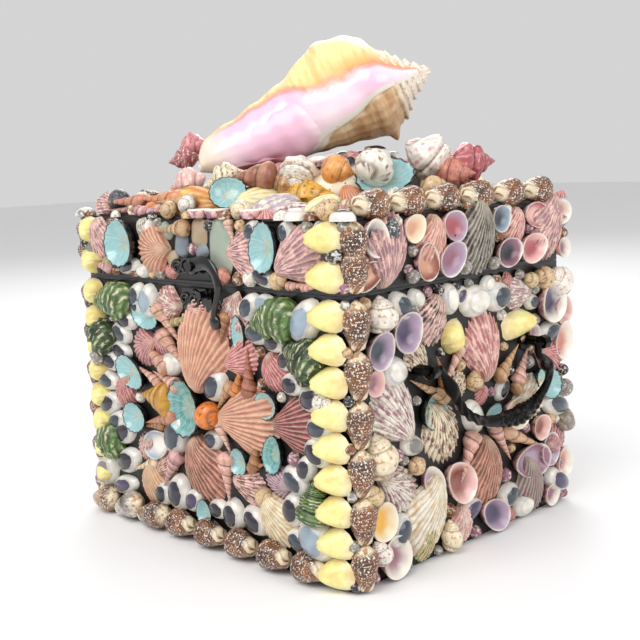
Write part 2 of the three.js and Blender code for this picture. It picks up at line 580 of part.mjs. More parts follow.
// A drop bail with its two posts, in a side wall's frame.
function handle(name, sign) {
  const side = wall(90 * sign, WIDTH / 2 + FIT);
  const pivotOut = HANDLE_OUT - FIT;
  const [front, back] = HANDLE_Y.map((y) => y * sign);
  for (const [end, y] of [['front', front], ['back', back]]) {
    const post = join([
      bar([y, HANDLE_Z, 0], [y, HANDLE_Z, 4], 10, 8, 8),
      bar([y, HANDLE_Z, 3], [y, HANDLE_Z, pivotOut], 4.2, 6),
      bar([y - 3.5, HANDLE_Z, pivotOut], [y + 3.5, HANDLE_Z, pivotOut], 5.5, 8)])
      .subtract(bar([y - 8, HANDLE_Z, pivotOut], [y + 8, HANDLE_Z, pivotOut], 2.8, 8));
    add(side, `handle_${name}_${end}_post`, post, 'bronze');
  }

  // The bail hangs on a pin through each eye: a rod that swells to two balls and a barrel grip.
  const centre = (HANDLE_Y[0] + HANDLE_Y[1]) / 2;
  const at = ([along, drop]) => [(centre + along) * sign, HANDLE_Z - drop, pivotOut];
  const path = new THREE.CatmullRomCurve3(BAIL.map(({ at: knot }) => new THREE.Vector3(...at(knot))));
  const loops = Array.from({ length: BAIL.length * 2 - 1 }, (_, i) => {
    const t = i / (BAIL.length * 2 - 2);
    const radius = i % 2 ? BAIL_ROD : BAIL[i / 2].radius;
    const point = path.getPoint(t);
    const tangent = path.getTangent(t);
    return oval(2 * radius, 2 * radius).map(([x, y]) =>
      [point.x - tangent.y * x, point.y + tangent.x * x, point.z + y]);
  });
  const rod = rings(loops, at(BAIL[0].at), at(BAIL.at(-1).at));
  const pins = [-1, 1].map((end) => {
    const knee = end * Math.abs(BAIL[0].at[0]);
    return bar(at([knee, 0]), at([knee + end * 13, 0]), 2, 8);
  });
  add(side, `bail_${name}`, join([rod, ...pins]), 'bronze');
}

woodwork();
frontFacing();
sideFacing('right', 1);
sideFacing('left', -1);
backFacing();
topOfLid();
hinge('hinge_left', -HINGE_X);
hinge('hinge_right', HINGE_X);
latch();
handle('right', 1);
handle('left', -1);

export default group;
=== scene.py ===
"""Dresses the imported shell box: sea shells set in black glue, a conch on the lid and black metal fittings."""

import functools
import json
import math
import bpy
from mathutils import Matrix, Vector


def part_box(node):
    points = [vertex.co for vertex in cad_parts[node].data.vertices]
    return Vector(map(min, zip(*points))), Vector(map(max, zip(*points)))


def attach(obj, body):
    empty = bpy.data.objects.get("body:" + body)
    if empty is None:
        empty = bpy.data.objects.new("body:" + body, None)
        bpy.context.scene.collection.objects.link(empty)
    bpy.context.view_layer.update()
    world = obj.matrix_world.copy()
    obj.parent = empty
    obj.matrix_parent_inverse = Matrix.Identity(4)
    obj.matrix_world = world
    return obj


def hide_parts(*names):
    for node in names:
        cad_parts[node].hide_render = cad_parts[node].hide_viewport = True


bl_info = {
    "name": "Shell Box",
    "version": (1, 0, 0),
    "blender": (4, 5, 0),
    "location": "3D View > Sidebar > Shell Box",
    "description": "Builds the shells, the glue and the fittings of a hinged shell box round its frame",
    "category": "Add Mesh",
}

import bpy
import numpy as np
from mathutils import Matrix, Vector

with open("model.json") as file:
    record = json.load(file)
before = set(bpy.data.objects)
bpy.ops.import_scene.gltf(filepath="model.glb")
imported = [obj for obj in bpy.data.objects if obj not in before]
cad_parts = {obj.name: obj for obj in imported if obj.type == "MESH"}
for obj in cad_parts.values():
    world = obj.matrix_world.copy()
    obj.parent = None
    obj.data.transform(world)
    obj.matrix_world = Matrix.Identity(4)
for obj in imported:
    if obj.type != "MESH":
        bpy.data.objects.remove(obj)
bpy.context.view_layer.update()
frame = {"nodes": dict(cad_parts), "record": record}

# ---------------------------------------------------------------- places, in millimetres
MM = 0.001
_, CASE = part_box("carcase")
HALF_X, HALF_Y, SEAM = (c / MM for c in CASE)
TOP_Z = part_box("lid_case")[1].z / MM
BED = 2.2  # height of the shells' feet in the glue
BODY_BAND = (1.5, SEAM - 1.7)  # heights of the body's facings
LID_BAND = (SEAM + 2.0, TOP_Z - 0.5)  # heights of the lid's side facings
HINGE_STRIP = 14.0  # bare height at the back above and below the seam
JOINTS = {j["name"]: Vector(j["pos_m"]) / MM for j in frame["record"]["behaviour"]["joints"]}
PIVOT = JOINTS["hook_pivot"]
HOOK_REACH = 56.0  # radius that the hook sweeps
CREASE = 70.0  # degrees between two faces from which their edge is sharp
REACH = {"front": 17.5, "back": 12.0, "side": 13.4, "under handle": 11.2}  # highest shells over the glue
HANDLE_ZONE = (92.0, 76.0, 156.0)  # half the width, the foot and the top of the place behind a handle
LOW = 4.6  # height that the open shells are pressed to under the hook's sweep

INK = {
    "lemon": "f5edae", "cream": "f2e7cd", "white": "efeae0", "salmon": "cf9482", "peach": "dcae92",
    "rust": "995c4d", "maroon": "7c3038", "rose": "b96a70", "pink": "e2a3a4", "blush": "efc9c2",
    "mauve": "a67888", "plum": "352b3d", "slate": "4b535e", "grey": "9c9790", "tan": "c69d76",
    "sand": "ddc4a0", "brown": "93602f", "bark": "54331f", "orange": "e8943f", "gold": "e8bb55",
    "teal": "429c96", "sky": "9cc6c8", "moss": "7f9c5e", "pine": "35482c", "glass": "cfdccb",
    "petal": "fbecf1", "shell_pink": "f3cbdd", "butter": "f7e6ad", "apricot": "efb877", "coral": "ee9480",
    "lilac": "bfabbd", "violet": "5b4c6e", "mist": "a9b6c2", "black": "14110f",
}


DEEPER = 1.28  # power that the linear colours are raised to


@functools.cache
def ink(name):
    """A named colour as linear red, green, blue and alpha."""
    parts = np.array([int(INK[name][i:i + 2], 16) for i in (0, 2, 4)]) / 255
    return (*(np.where(parts < 0.04, parts / 12.9, ((parts + 0.055) / 1.055) ** 2.4) ** DEEPER).tolist(), 1.0)


# ---------------------------------------------------------------- frames that shells are set on
class Wall:
    """A flat place: its middle and two directions along it; the third one points out of it."""

    def __init__(self, origin, u, v):
        self.origin, self.u, self.v = (np.array(a, float) for a in (origin, u, v))
        self.w = np.cross(self.u, self.v)

    def put(self, points, at=(0, 0, 0), turn=0):
        """Turns the points in the plane and moves them, then gives their place in the frame in metres."""
        x, y, z = points[..., 0], points[..., 1], points[..., 2]
        c, s = math.cos(math.radians(turn)), math.sin(math.radians(turn))
        x, y = x * c - y * s + at[0], x * s + y * c + at[1]
        parts = (x, self.u), (y, self.v), (z + at[2], self.w)
        return (self.origin + sum(part[..., None] * way for part, way in parts)) * MM


FRONT = Wall((0, -HALF_Y, 0), (1, 0, 0), (0, 0, 1))
RIGHT = Wall((HALF_X, 0, 0), (0, 1, 0), (0, 0, 1))
BACK = Wall((0, HALF_Y, 0), (-1, 0, 0), (0, 0, 1))
LEFT = Wall((-HALF_X, 0, 0), (0, -1, 0), (0, 0, 1))
TOP = Wall((0, 0, TOP_Z), (1, 0, 0), (0, 1, 0))

# The heap that the conch lies on: an oval hill along the lid's diagonal.
HEAP = {"half_length": 108.0, "half_width": 74.0, "height": 34.0, "slope": 0.13, "foot": 1.02, "brow": 0.5}


def heap_height(x, y):
    """Height of the hill over the lid: full inside the brow, falling as a smooth step to the foot."""
    a, b = (x + y) * math.sqrt(0.5), (y - x) * math.sqrt(0.5)
    share = np.hypot(a / HEAP["half_length"], b / HEAP["half_width"])
    t = np.clip((share - HEAP["brow"]) / (HEAP["foot"] - HEAP["brow"]), 0, 1)
    return (HEAP["height"] + HEAP["slope"] * a) * (1 - t * t * (3 - 2 * t))


def heap_wall(x, y):
    """The plane that touches the hill at x and y."""
    step = 4.0
    rise_x = (heap_height(x + step, y) - heap_height(x - step, y)) / (2 * step)
    rise_y = (heap_height(x, y + step) - heap_height(x, y - step)) / (2 * step)
    u = np.array([1, 0, rise_x]) / math.hypot(1, rise_x)
    w = np.array([-rise_x, -rise_y, 1]) / math.sqrt(1 + rise_x ** 2 + rise_y ** 2)
    return Wall((x, y, TOP_Z + float(heap_height(x, y))), u, np.cross(w, u))


# ---------------------------------------------------------------- meshes
@functools.cache
def tube_faces(rows, columns):
    """Faces of a tube of rings closed by a pole at each end, and each corner's place as (column, row)."""
    i, j = np.mgrid[0:rows - 1, 0:columns]
    here, right, poles = i * columns, (j + 1) % columns, rows * columns
    quads = np.stack([here + j, here + right, here + columns + right, here + columns + j], -1)
    quad_map = np.stack([j, i, j + 1, i, j + 1, i + 1, j, i + 1], -1)
    k = np.arange(columns)
    last, after = poles - columns, (k + 1) % columns
    first_fan = np.stack([after, k, np.full(columns, poles)], -1)
    last_fan = np.stack([last + k, last + after, np.full(columns, poles + 1)], -1)
    low, high = np.zeros(columns), np.full(columns, rows - 1)
    first_map = np.stack([k + 1, low, k, low, k + 0.5, low], -1)
    last_map = np.stack([k, high, k + 1, high, k + 0.5, high], -1)
    corners = np.concatenate([quads.ravel(), first_fan.ravel(), last_fan.ravel()])
    sizes = np.concatenate([np.full(quads[..., 0].size, 4), np.full(2 * columns, 3)])
    places = np.concatenate([quad_map.ravel(), first_map.ravel(), last_map.ravel()]).reshape(-1, 2)
    return corners, sizes, places


class Pile:
    """Tubes of rings gathered into one mesh, each with its own two colours and surface map."""

    def __init__(self):
        self.points, self.corners, self.sizes, self.maps = [], [], [], []
        self.colours = {"tint": [], "mark": []}
        self.count = 0

    def add(self, rings, tint="white", mark=None, along=None, lead=0.0, ribs=1.0):
        """Adds a closed tube. The map's first number runs round each ring, from 0 to ribs; its second
        follows along, less lead for each way round. Faces are turned outward where the volume inside
        comes out negative."""
        rows, columns = rings.shape[:2]
        points = np.concatenate([rings.reshape(-1, 3), rings[[0, -1]].mean(1)])
        corners, sizes, places = tube_faces(rows, columns)
        along = np.linspace(0, 1, rows) if along is None else np.asarray(along, float)
        around = places[:, 0] / columns
        uv = np.stack([around * ribs, along[places[:, 1].astype(int)] - lead * around], -1)
        middle = points.mean(0)
        quads = points[corners[:4 * (rows - 1) * columns].reshape(-1, 4)] - middle
        inside = np.einsum("ij,ij->i", quads[:, 0], np.cross(quads[:, 1], quads[:, 2])
                           + np.cross(quads[:, 2], quads[:, 3])).sum()
        if inside < 0:
            ends = np.cumsum(sizes)
            back = np.repeat(ends - sizes + ends - 1, sizes) - np.arange(len(corners))
            corners, uv = corners[back], uv[back]
        self.points.append(points)
        self.corners.append(corners + self.count)
        self.sizes.append(sizes)
        self.maps.append(uv)
        for key, name in (("tint", tint), ("mark", mark or tint)):
            self.colours[key].append(np.tile(ink(name), (len(points), 1)))
        self.count += len(points)

    def piece(self, name, material, body, slot, replaced=()):
        """The gathered mesh as one object that rides on a body."""
        mesh = bpy.data.meshes.new(name)
        corners, sizes = np.concatenate(self.corners), np.concatenate(self.sizes)
        mesh.vertices.add(self.count)
        mesh.vertices.foreach_set("co", np.concatenate(self.points).ravel())
        mesh.loops.add(len(corners))
        mesh.loops.foreach_set("vertex_index", corners)
        mesh.polygons.add(len(sizes))
        mesh.polygons.foreach_set("loop_start", np.cumsum(sizes) - sizes)
        mesh.polygons.foreach_set("use_smooth", np.ones(len(sizes), bool))
        mesh.uv_layers.new(name="wrap").uv.foreach_set("vector", np.concatenate(self.maps).ravel())
        for key, colours in self.colours.items():
            layer = mesh.attributes.new(key, "FLOAT_COLOR", "POINT")
            layer.data.foreach_set("color", np.concatenate(colours).ravel())
        mesh.update(calc_edges=True)
        mesh.set_sharp_from_angle(angle=math.radians(CREASE))
        mesh.materials.append(material)
        made = bpy.data.objects.new(name, mesh)
        bpy.context.scene.collection.objects.link(made)
        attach(made, body)
        if replaced:
            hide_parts(*replaced)
        return made


def smooth(knots, at):
    """A curve through (place, value) knots, in cubic pieces whose slopes come from the neighbours."""
    x, y = np.array(knots, float).T
    slope = np.gradient(y, x)
    i = np.clip(np.searchsorted(x, at, side="right") - 1, 0, len(x) - 2)
    h = x[i + 1] - x[i]
    t = (at - x[i]) / h
    return ((1 + 2 * t) * (1 - t) ** 2 * y[i] + t * (1 - t) ** 2 * h * slope[i]
            + t * t * (3 - 2 * t) * y[i + 1] + t * t * (t - 1) * h * slope[i + 1])


# ---------------------------------------------------------------- shell shapes
# Each gives rings of points in millimetres round its own middle, with the beak or the tip at +x and
# the open air at +z, and the values that the surface map follows.
def fan(length, width, rise, ribs=14, spread=0.95, depth=0.02, rows=11):
    """A ribbed valve. A point lies at share s of reach from the beak, and reach is the length times the
    cosine of its angle. Its height is rise times sin(pi s^0.55) times a flat-topped arch across, plus a
    cosine for each rib."""
    s = np.linspace(0.05, 1, rows)[:, None]
    t = np.linspace(-1, 1, 4 * ribs + 1)[None]
    rib = np.cos(math.tau * ribs * (t + 1) / 2)
    angle = t * spread
    reach = length * np.cos(angle) * (1 + 0.6 * depth * rib * s ** 2)
    arch = (1 - np.abs(t) ** 3) ** 0.6
    widest = 2 * np.max(np.cos(angle) ** 2 * np.tan(angle))
    x = length / 2 - reach * s * np.cos(angle)
    y = reach * s * np.sin(angle) * width / (length * widest)
    z = rise * np.sin(math.pi * np.minimum(s, 0.999) ** 0.55) ** 0.75 * arch
    z = z + depth * length * 0.45 * rib * s * arch + 0.01 * length * np.sin(math.tau * 4 * s) * arch * s
    return np.stack([x, y, z + 0.3], -1), {"along": s[:, 0], "ribs": ribs + 0.25}


def cup(length, width, rise, ribs=0, wave=0.0):
    """An open valve: its rings run from the middle of the hollow up to the rim and down the outside. The
    outline is an oval, narrower at the beak, and a rim of ribs waves in and out."""
    share = np.array([0.16, 0.4, 0.62, 0.8, 0.92, 1.0, 1.02, 0.8])[:, None]
    level = np.array([0.22, 0.27, 0.42, 0.66, 0.9, 1.0, 0.88, 0.0])[:, None]
    columns = max(22, 3 * ribs)
    turn = (np.arange(columns) * math.tau / columns)[None]
    ripple = 1 + wave * np.cos(ribs * turn) * share ** 2
    x = length / 2 * share * np.cos(turn) * ripple
    y = width / 2 * share * np.sin(turn) * (1 - 0.12 * np.cos(turn)) * ripple
    z = rise * level * (1 + 0.8 * wave * np.cos(ribs * turn)) + 0 * x
    return np.stack([x, y, z], -1), {"along": [0.05, 0.2, 0.36, 0.5, 0.62, 0.72, 0.8, 1]}


def dome(length, width, rise, rows=5, columns=14, square=2.0):
    """A low dome: the outline is |cos|^n + |sin|^n = 1, shrunk ring by ring as a cosine while the height
    grows as a sine."""
    lift = np.linspace(-0.08, math.pi / 2 * 0.94, rows)[:, None]
    turn = (np.arange(columns) * math.tau / columns)[None]
    round_off = (np.abs(np.cos(turn)) ** square + np.abs(np.sin(turn)) ** square) ** (-1 / square)
    x = length / 2 * np.cos(lift) * np.cos(turn) * round_off
    y = width / 2 * np.cos(lift) * np.sin(turn) * round_off * (1 - 0.08 * np.cos(turn))
    z = rise * np.sin(lift) + 0 * x
    return np.stack([x, y, z], -1), {"along": np.sin(lift)[:, 0]}


SPIRES = {
    "auger": {"profile": [(0, 0.02), (0.3, 0.3), (0.6, 0.6), (0.86, 0.97), (0.94, 0.92), (1, 0.4)],
              "turns": 8, "rows": 46, "columns": 12, "groove": 0.2, "growth": 6, "beads": (0, 0)},
    "snail": {"profile": [(0, 0.03), (0.1, 0.34), (0.28, 0.74), (0.5, 0.98), (0.72, 0.97), (0.9, 0.66),
                          (1, 0.15)],
              "turns": 3.4, "rows": 26, "columns": 20, "groove": 0.14, "growth": 22, "beads": (0, 0)},
    "turban": {"profile": [(0, 0.04), (0.15, 0.34), (0.4, 0.72), (0.66, 1), (0.85, 0.88), (0.96, 0.5),
                           (1, 0.2)],
               "turns": 4, "rows": 40, "columns": 26, "groove": 0.3, "growth": 10, "beads": (13, 0.1)},
    "whelk": {"profile": [(0, 0.03), (0.18, 0.36), (0.38, 0.82), (0.52, 1), (0.72, 0.8), (0.9, 0.42),
                          (1, 0.16)],
              "turns": 4.5, "rows": 40, "columns": 24, "groove": 0.2, "growth": 9, "beads": (9, 0.16)},
    "trochus": {"profile": [(0, 0.03), (0.4, 0.5), (0.8, 0.97), (0.9, 0.98), (0.97, 0.7), (1, 0.3)],
                "turns": 5, "rows": 36, "columns": 20, "groove": 0.12, "growth": 5, "beads": (0, 0)},
    "spotted": {"profile": [(0, 0.08), (0.06, 0.34), (0.15, 0.66), (0.26, 0.95), (0.4, 1), (0.65, 0.84),
                            (0.85, 0.6), (0.97, 0.42), (1, 0.2)],
                "turns": 3, "rows": 26, "columns": 20, "groove": 0.1, "growth": 14, "beads": (11, 0.05)},
}


def spire(length, width, kind):
    """A spiral shell: a profile turned round x, from the tip to the mouth. The seam between whorls lies
    where turns * log(1 + growth s) / log(1 + growth) less the way round is whole; the radius dips there by
    groove and swells by beads times a cosine round the axis."""
    facts = SPIRES[kind]
    s = np.linspace(0.004, 1, facts["rows"])[:, None]
    turn = (np.arange(facts["columns"]) / facts["columns"])[None]
    lead = facts["turns"] * np.log(1 + facts["growth"] * s) / math.log(1 + facts["growth"])
    off = 2 * np.abs((lead - turn) % 1 - 0.5)
    count, swell = facts["beads"]
    beads = swell * np.cos(math.tau * count * turn) * (1 - off) * np.sin(math.pi * s) if count else 0
    radius = width / 2 * smooth(facts["profile"], s) * (1 - facts["groove"] * off ** 4 + beads)
    x = length / 2 - length * s + 0 * radius
    y, z = radius * np.cos(math.tau * turn), radius * np.sin(math.tau * turn)
    along = s[:, 0] if kind == "spotted" else lead[:, 0]
    return np.stack([x, y, z + width * 0.36], -1), {"along": along, "lead": float(kind != "spotted")}


def shape(kind, length, width, low=False):
    """The rings and the map of one shell of a kind, lower where little room is left over it."""
    flat = min(1.0, LOW / (0.28 * width + 2)) if low else 1.0
    if kind in ("scallop", "clam"):
        ribs = {"scallop": 10 + int(width / 7), "clam": 7}[kind]
        return fan(length, width, (3 + 0.2 * width) * flat, ribs, 0.95 if kind == "scallop" else 1.25,
                   0.03 if kind == "scallop" else 0.014)
    if kind == "cockle":
        return fan(length, width, 4 + 0.42 * width, 3, 1.25, 0.05, 9)
    if kind == "cup":
        return cup(length, width, (2 + 0.25 * width) * flat)
    if kind == "limpet":
        return cup(length, width, (2 + 0.24 * width) * flat, 16 if width > 14 else 11, 0.035)
    if kind in ("cowrie", "dotted"):
        return dome(length, width, (2 + 0.36 * width) * flat)
    if kind == "glass":
        return dome(length, width, 4.5 * flat, 4, 20, 3.6)
    if kind == "pebble":
        return dome(length, width, (1.6 + 0.4 * width) * flat, 4, 9)
    rings, facts = spire(length, width, kind)
    rings[..., 2] *= flat
    return rings, facts


# ---------------------------------------------------------------- which shells go where
# Each shell is (along the wall, up the wall, length, width, turn of its tip, colour, second colour).
def row(start, end, count, *rest):
    """Equal shells from one place to another."""
    places = np.linspace(start, end, count)
    return [(float(u), float(v), *rest) for u, v in places]


def mirrored(layout):
    """The same shells with left and right changed over."""
    return {kind: [(-u, v, length, width, 180 - turn, *rest) for u, v, length, width, turn, *rest in shells]
            for kind, shells in layout.items()}


FRONT_BODY = {
    "cockle": [*row((141, 12), (141, 190), 9, 28, 23, 180, "lemon", "cream"),
               *row((-141, 12), (-141, 190), 9, 28, 23, 0, "lemon", "cream")],
    "turban": [(-110, 191, 58, 33, 184, "moss", "pine"), (-132, 155, 42, 34, 160, "pine", "moss"),
               (-134, 62, 46, 34, 200, "moss", "pine"), (85, 184, 52, 33, 192, "moss", "pine"),
               (113, 160, 40, 34, 165, "pine", "moss"), (121, 60, 32, 29, 90, "moss", "pine")],
    "scallop": [(3, 155, 70, 62, 268, "salmon", "peach"), (54, 108, 62, 54, 180, "peach", "salmon"),
                (-1, 62, 56, 54, 102, "rust", "salmon"), (-35, 191, 34, 30, 0, "rose", "white"),
                (41, 186, 38, 30, 70, "rose", "white"), (-69, 150, 38, 32, 20, "pink", "mauve"),
                (-46, 156, 28, 26, 60, "pink", "mauve"), (48, 152, 34, 30, 200, "pink", "rose"),
                (82, 147, 30, 28, 90, "rose", "pink"), (103, 111, 42, 40, 180, "maroon", "rose"),
                (-102, 109, 34, 30, 60, "pink", "rose"), (-69, 37, 40, 37, 80, "peach", "sand"),
                (79, 38, 42, 40, 110, "cream", "sand"), (51, 57, 36, 28, 160, "blush", "maroon"),
                (83, 67, 32, 24, 0, "lilac", "mauve"), (-77, 66, 28, 24, 40, "blush", "mauve"),
                (-50, 56, 28, 22, 220, "blush", "brown"), (0, 186, 26, 20, 180, "blush", "rose")],
    "trochus": [(-54, 111, 44, 30, 180, "gold", "brown")],
    "limpet": [(-62, 176, 34, 22, 345, "sky", "slate"), (-88, 127, 38, 24, 335, "sky", "slate"),
               (-85, 90, 30, 25, 0, "sky", "slate"), (-16, 108, 45, 38, 90, "teal", "pine"),
               (48, 171, 26, 13, 95, "sky", "slate"), (76, 122, 22, 20, 0, "sky", "slate"),
               (80, 87, 29, 19, 80, "teal", "slate"), (42, 75, 21, 19, 90, "sky", "teal"),
               (-2, 27, 20, 18, 90, "sky", "slate")],
    "snail": [(10, 105, 28, 21, 200, "orange", "rust"), (-130, 138, 20, 16, 60, "grey", "white"),
              (70, 54, 16, 14, 0, "sand", "tan"), (133, 132, 16, 14, 0, "white", "slate")],
    "auger": [(-33, 171, 42, 14, 315, "tan", "blush"), (-29, 152, 38, 14, 318, "tan", "blush"),
              (-54, 145, 44, 15, 152, "tan", "blush"), (-67, 128, 38, 10, 160, "blush", "tan"),
              (-41, 127, 36, 13, 165, "blush", "tan"), (-51, 93, 46, 15, 195, "salmon", "tan"),
              (-64, 86, 32, 10, 190, "tan", "brown"), (-81, 49, 44, 10, 200, "cream", "tan"),
              (-41, 54, 40, 15, 235, "blush", "mauve"), (-17, 176, 28, 8, 15, "sand", "moss"),
              (31, 172, 28, 11, 250, "tan", "brown"), (46, 137, 28, 11, 70, "orange", "tan"),
              (58, 144, 38, 13, 90, "salmon", "brown"), (28, 121, 32, 11, 230, "tan", "sand"),
              (26, 90, 32, 10, 300, "blush", "sand"), (61, 87, 32, 11, 80, "tan", "brown"),
              (62, 75, 20, 9, 20, "salmon", "tan"), (29, 60, 40, 15, 272, "blush", "peach")],
    "cup": [(-57, 72, 34, 23, 20, "white", "mist")],
    "cowrie": [(-77, 200, 24, 18, 60, "slate"), (-61, 195, 28, 22, 90, "mist"),
               (-79, 182, 20, 15, 0, "plum"), (-93, 170, 28, 19, 350, "plum"),
               (-101, 158, 26, 18, 340, "slate"), (-103, 143, 26, 16, 350, "plum"),
               (-119, 133, 32, 18, 350, "plum"), (-126, 116, 32, 18, 350, "slate"),
               (-125, 96, 32, 20, 20, "plum"), (-117, 81, 28, 18, 30, "slate"),
               (-105, 74, 30, 20, 30, "plum"), (-103, 50, 34, 22, 20, "plum"),
               (-111, 27, 36, 17, 15, "violet"), (-137, 35, 36, 26, 50, "grey"),
               (-56, 31, 22, 20, 60, "plum"), (-35, 36, 32, 26, 80, "plum"),
               (-17, 33, 24, 18, 40, "violet"), (13, 32, 22, 17, 0, "plum"), (31, 32, 26, 23, 90, "plum"),
               (55, 32, 28, 21, 330, "plum"), (97, 50, 26, 22, 80, "plum"), (100, 71, 28, 19, 330, "slate"),
               (111, 82, 22, 17, 60, "plum"), (123, 95, 26, 20, 330, "plum"),
               (126, 113, 26, 18, 10, "slate"), (121, 133, 28, 20, 20, "plum"),
               (101, 140, 22, 17, 0, "plum"), (96, 157, 20, 15, 40, "plum"), (60, 194, 24, 18, 50, "slate"),
               (76, 199, 22, 14, 0, "mist"), (68, 173, 28, 18, 0, "slate"), (85, 168, 22, 16, 0, "plum"),
               (116, 186, 36, 25, 55, "mist"), (101, 27, 26, 17, 340, "slate"),
               (119, 33, 36, 30, 320, "mist"), (11, 86, 22, 17, 20, "slate"),
               (18, 129, 29, 25, 30, "slate"), (-34, 83, 38, 27, 60, "slate"),
               (-36, 139, 30, 20, 10, "white")],
}
FRONT_LID = {
    "cockle": [*row((141, 215), (141, 245), 2, 28, 23, 180, "lemon", "cream"),
               *row((-141, 215), (-141, 245), 2, 28, 23, 0, "lemon", "cream")],
    "scallop": [(-122, 236, 38, 34, 90, "blush", "mauve"), (-50, 229, 44, 42, 0, "peach", "salmon"),
                (55, 229, 40, 34, 180, "blush", "mauve"), (111, 229, 44, 40, 215, "mauve", "blush"),
                (133, 246, 20, 16, 90, "grey", "white"), (-64, 253, 18, 16, 60, "white", "grey"),
                (-30, 212, 20, 12, 0, "pink", "rose")],
    "limpet": [(-88, 238, 38, 36, 90, "sky", "slate"), (82, 236, 36, 26, 80, "sky", "slate")],
    "cowrie": [(-85, 214, 30, 14, 10, "plum"), (77, 212, 28, 15, 340, "plum"),
               (101, 249, 17, 15, 90, "slate"), (66, 249, 17, 14, 60, "slate"),
               (-135, 226, 18, 14, 90, "grey"), (-54, 250, 14, 10, 60, "white")],
    "auger": [(-122, 213, 32, 11, 175, "blush", "mauve"), (-104, 216, 22, 10, 0, "sand", "moss"),
              (-22, 248, 40, 14, 185, "sand", "brown"), (125, 206, 22, 6, 5, "blush", "tan"),
              (113, 209, 26, 7, 5, "blush", "tan"), (45, 249, 20, 8, 290, "blush", "sand")],
    "snail": [(95, 211, 15, 13, 20, "sand", "tan"), (35, 210, 16, 13, 0, "salmon", "tan")],
    "glass": [(-15, 233, 20, 16, 80, "mist"), (9, 228, 15, 13, 40, "mist"), (6, 245, 22, 19, 90, "sand"),
              (30, 233, 42, 27, 90, "glass"), (-33, 243, 16, 10, 140, "glass"),
              (-27, 222, 14, 12, 30, "sand")],
}
RIGHT_BODY = {
    "spotted": [*row((-121, 18), (-121, 184), 6, 34, 21, 90, "brown", "white")],
    "snail": [(-95, 188, 27, 26, 100, "white", "tan"), (-101, 91, 34, 29, 110, "cream", "tan"),
              (-112, 67, 18, 15, 120, "sand", "moss"), (-106, 25, 22, 16, 120, "white", "rose"),
              (-28, 7, 26, 17, 100, "cream", "tan"), (126, 187, 30, 26, 150, "white", "peach"),
              (4, 125, 16, 14, 90, "sand", "brown"), (131, 98, 18, 15, 0, "grey", "white"),
              (134, 70, 20, 18, 60, "grey", "sand"), (80, 192, 16, 13, 0, "sand", "moss")],
    "cup": [(-72, 173, 30, 27, 45, "violet", "lilac"), (-99, 164, 28, 23, 50, "slate", "lilac"),
            (-105, 143, 19, 17, 60, "mauve", "blush"), (-47, 59, 30, 20, 120, "lilac", "white"),
            (-17, 53, 38, 28, 135, "rust", "blush"), (-102, 46, 28, 25, 90, "gold", "cream"),
            (-91, 8, 32, 28, 100, "mauve", "white"), (106, 172, 34, 32, 100, "violet", "white"),
            (133, 163, 24, 22, 90, "rust", "blush"), (133, 138, 32, 24, 80, "salmon", "white"),
            (76, 47, 48, 27, 175, "lilac", "mauve"), (102, 51, 28, 24, 80, "plum", "lilac"),
            (26, 8, 36, 24, 150, "violet", "lilac"), (136, 35, 26, 20, 90, "salmon", "white"),
            (56, 90, 32, 25, 170, "peach", "cream")],
    "scallop": [(-40, 177, 38, 34, 80, "blush", "plum"), (19, 148, 56, 48, 268, "rose", "blush"),
                (64, 183, 30, 26, 0, "mauve", "white"), (-84, 118, 54, 44, 300, "white", "mauve"),
                (-34, 95, 54, 42, 120, "cream", "maroon"), (80, 98, 50, 38, 178, "white", "sand"),
                (17, 51, 62, 50, 92, "rust", "salmon"), (-52, 36, 62, 48, 70, "white", "sand"),
                (-82, 63, 48, 32, 150, "white", "mauve"), (80, 23, 52, 36, 110, "grey", "mauve"),
                (108, 127, 44, 28, 160, "pink", "rose"), (115, 54, 34, 28, 180, "mauve", "pink"),
                (-54, 11, 36, 28, 80, "sand", "moss"), (-10, 13, 34, 26, 100, "pink", "white")],
    "cockle": [(-16, 161, 28, 26, 200, "lemon", "cream"), (62, 159, 38, 23, 10, "lemon", "cream")],
    "cowrie": [(-20, 189, 24, 18, 280, "white"), (10, 184, 36, 25, 0, "white"),
               (38, 184, 30, 24, 0, "slate"), (108, 147, 30, 18, 10, "slate"),
               (121, 85, 40, 20, 340, "slate"), (118, 20, 36, 20, 330, "violet"),
               (-2, 27, 30, 19, 15, "violet"), (-82, 33, 26, 22, 60, "slate"),
               (48, 25, 26, 20, 20, "slate"), (-66, 91, 24, 16, 340, "grey"),
               (-83, 147, 27, 22, 340, "white"), (4, 97, 30, 22, 300, "white"),
               (-8, 190, 18, 12, 40, "violet"), (70, 8, 26, 18, 0, "white")],
    "limpet": [(-45, 112, 27, 26, 90, "sky", "pine"), (100, 107, 38, 24, 150, "sky", "teal"),
               (26, 94, 24, 16, 30, "sky", "slate")],
    "auger": [(-19, 142, 44, 11, 232, "blush", "tan"), (-49, 128, 46, 12, 152, "tan", "sand"),
              (-34, 136, 32, 13, 110, "tan", "brown"), (47, 132, 38, 13, 40, "tan", "sand"),
              (66, 126, 32, 13, 60, "blush", "tan"), (-7, 69, 40, 15, 245, "blush", "tan"),
              (37, 71, 42, 13, 305, "blush", "tan"), (74, 63, 78, 12, 335, "peach", "sand"),
              (66, 112, 24, 12, 20, "tan", "sand")],
}
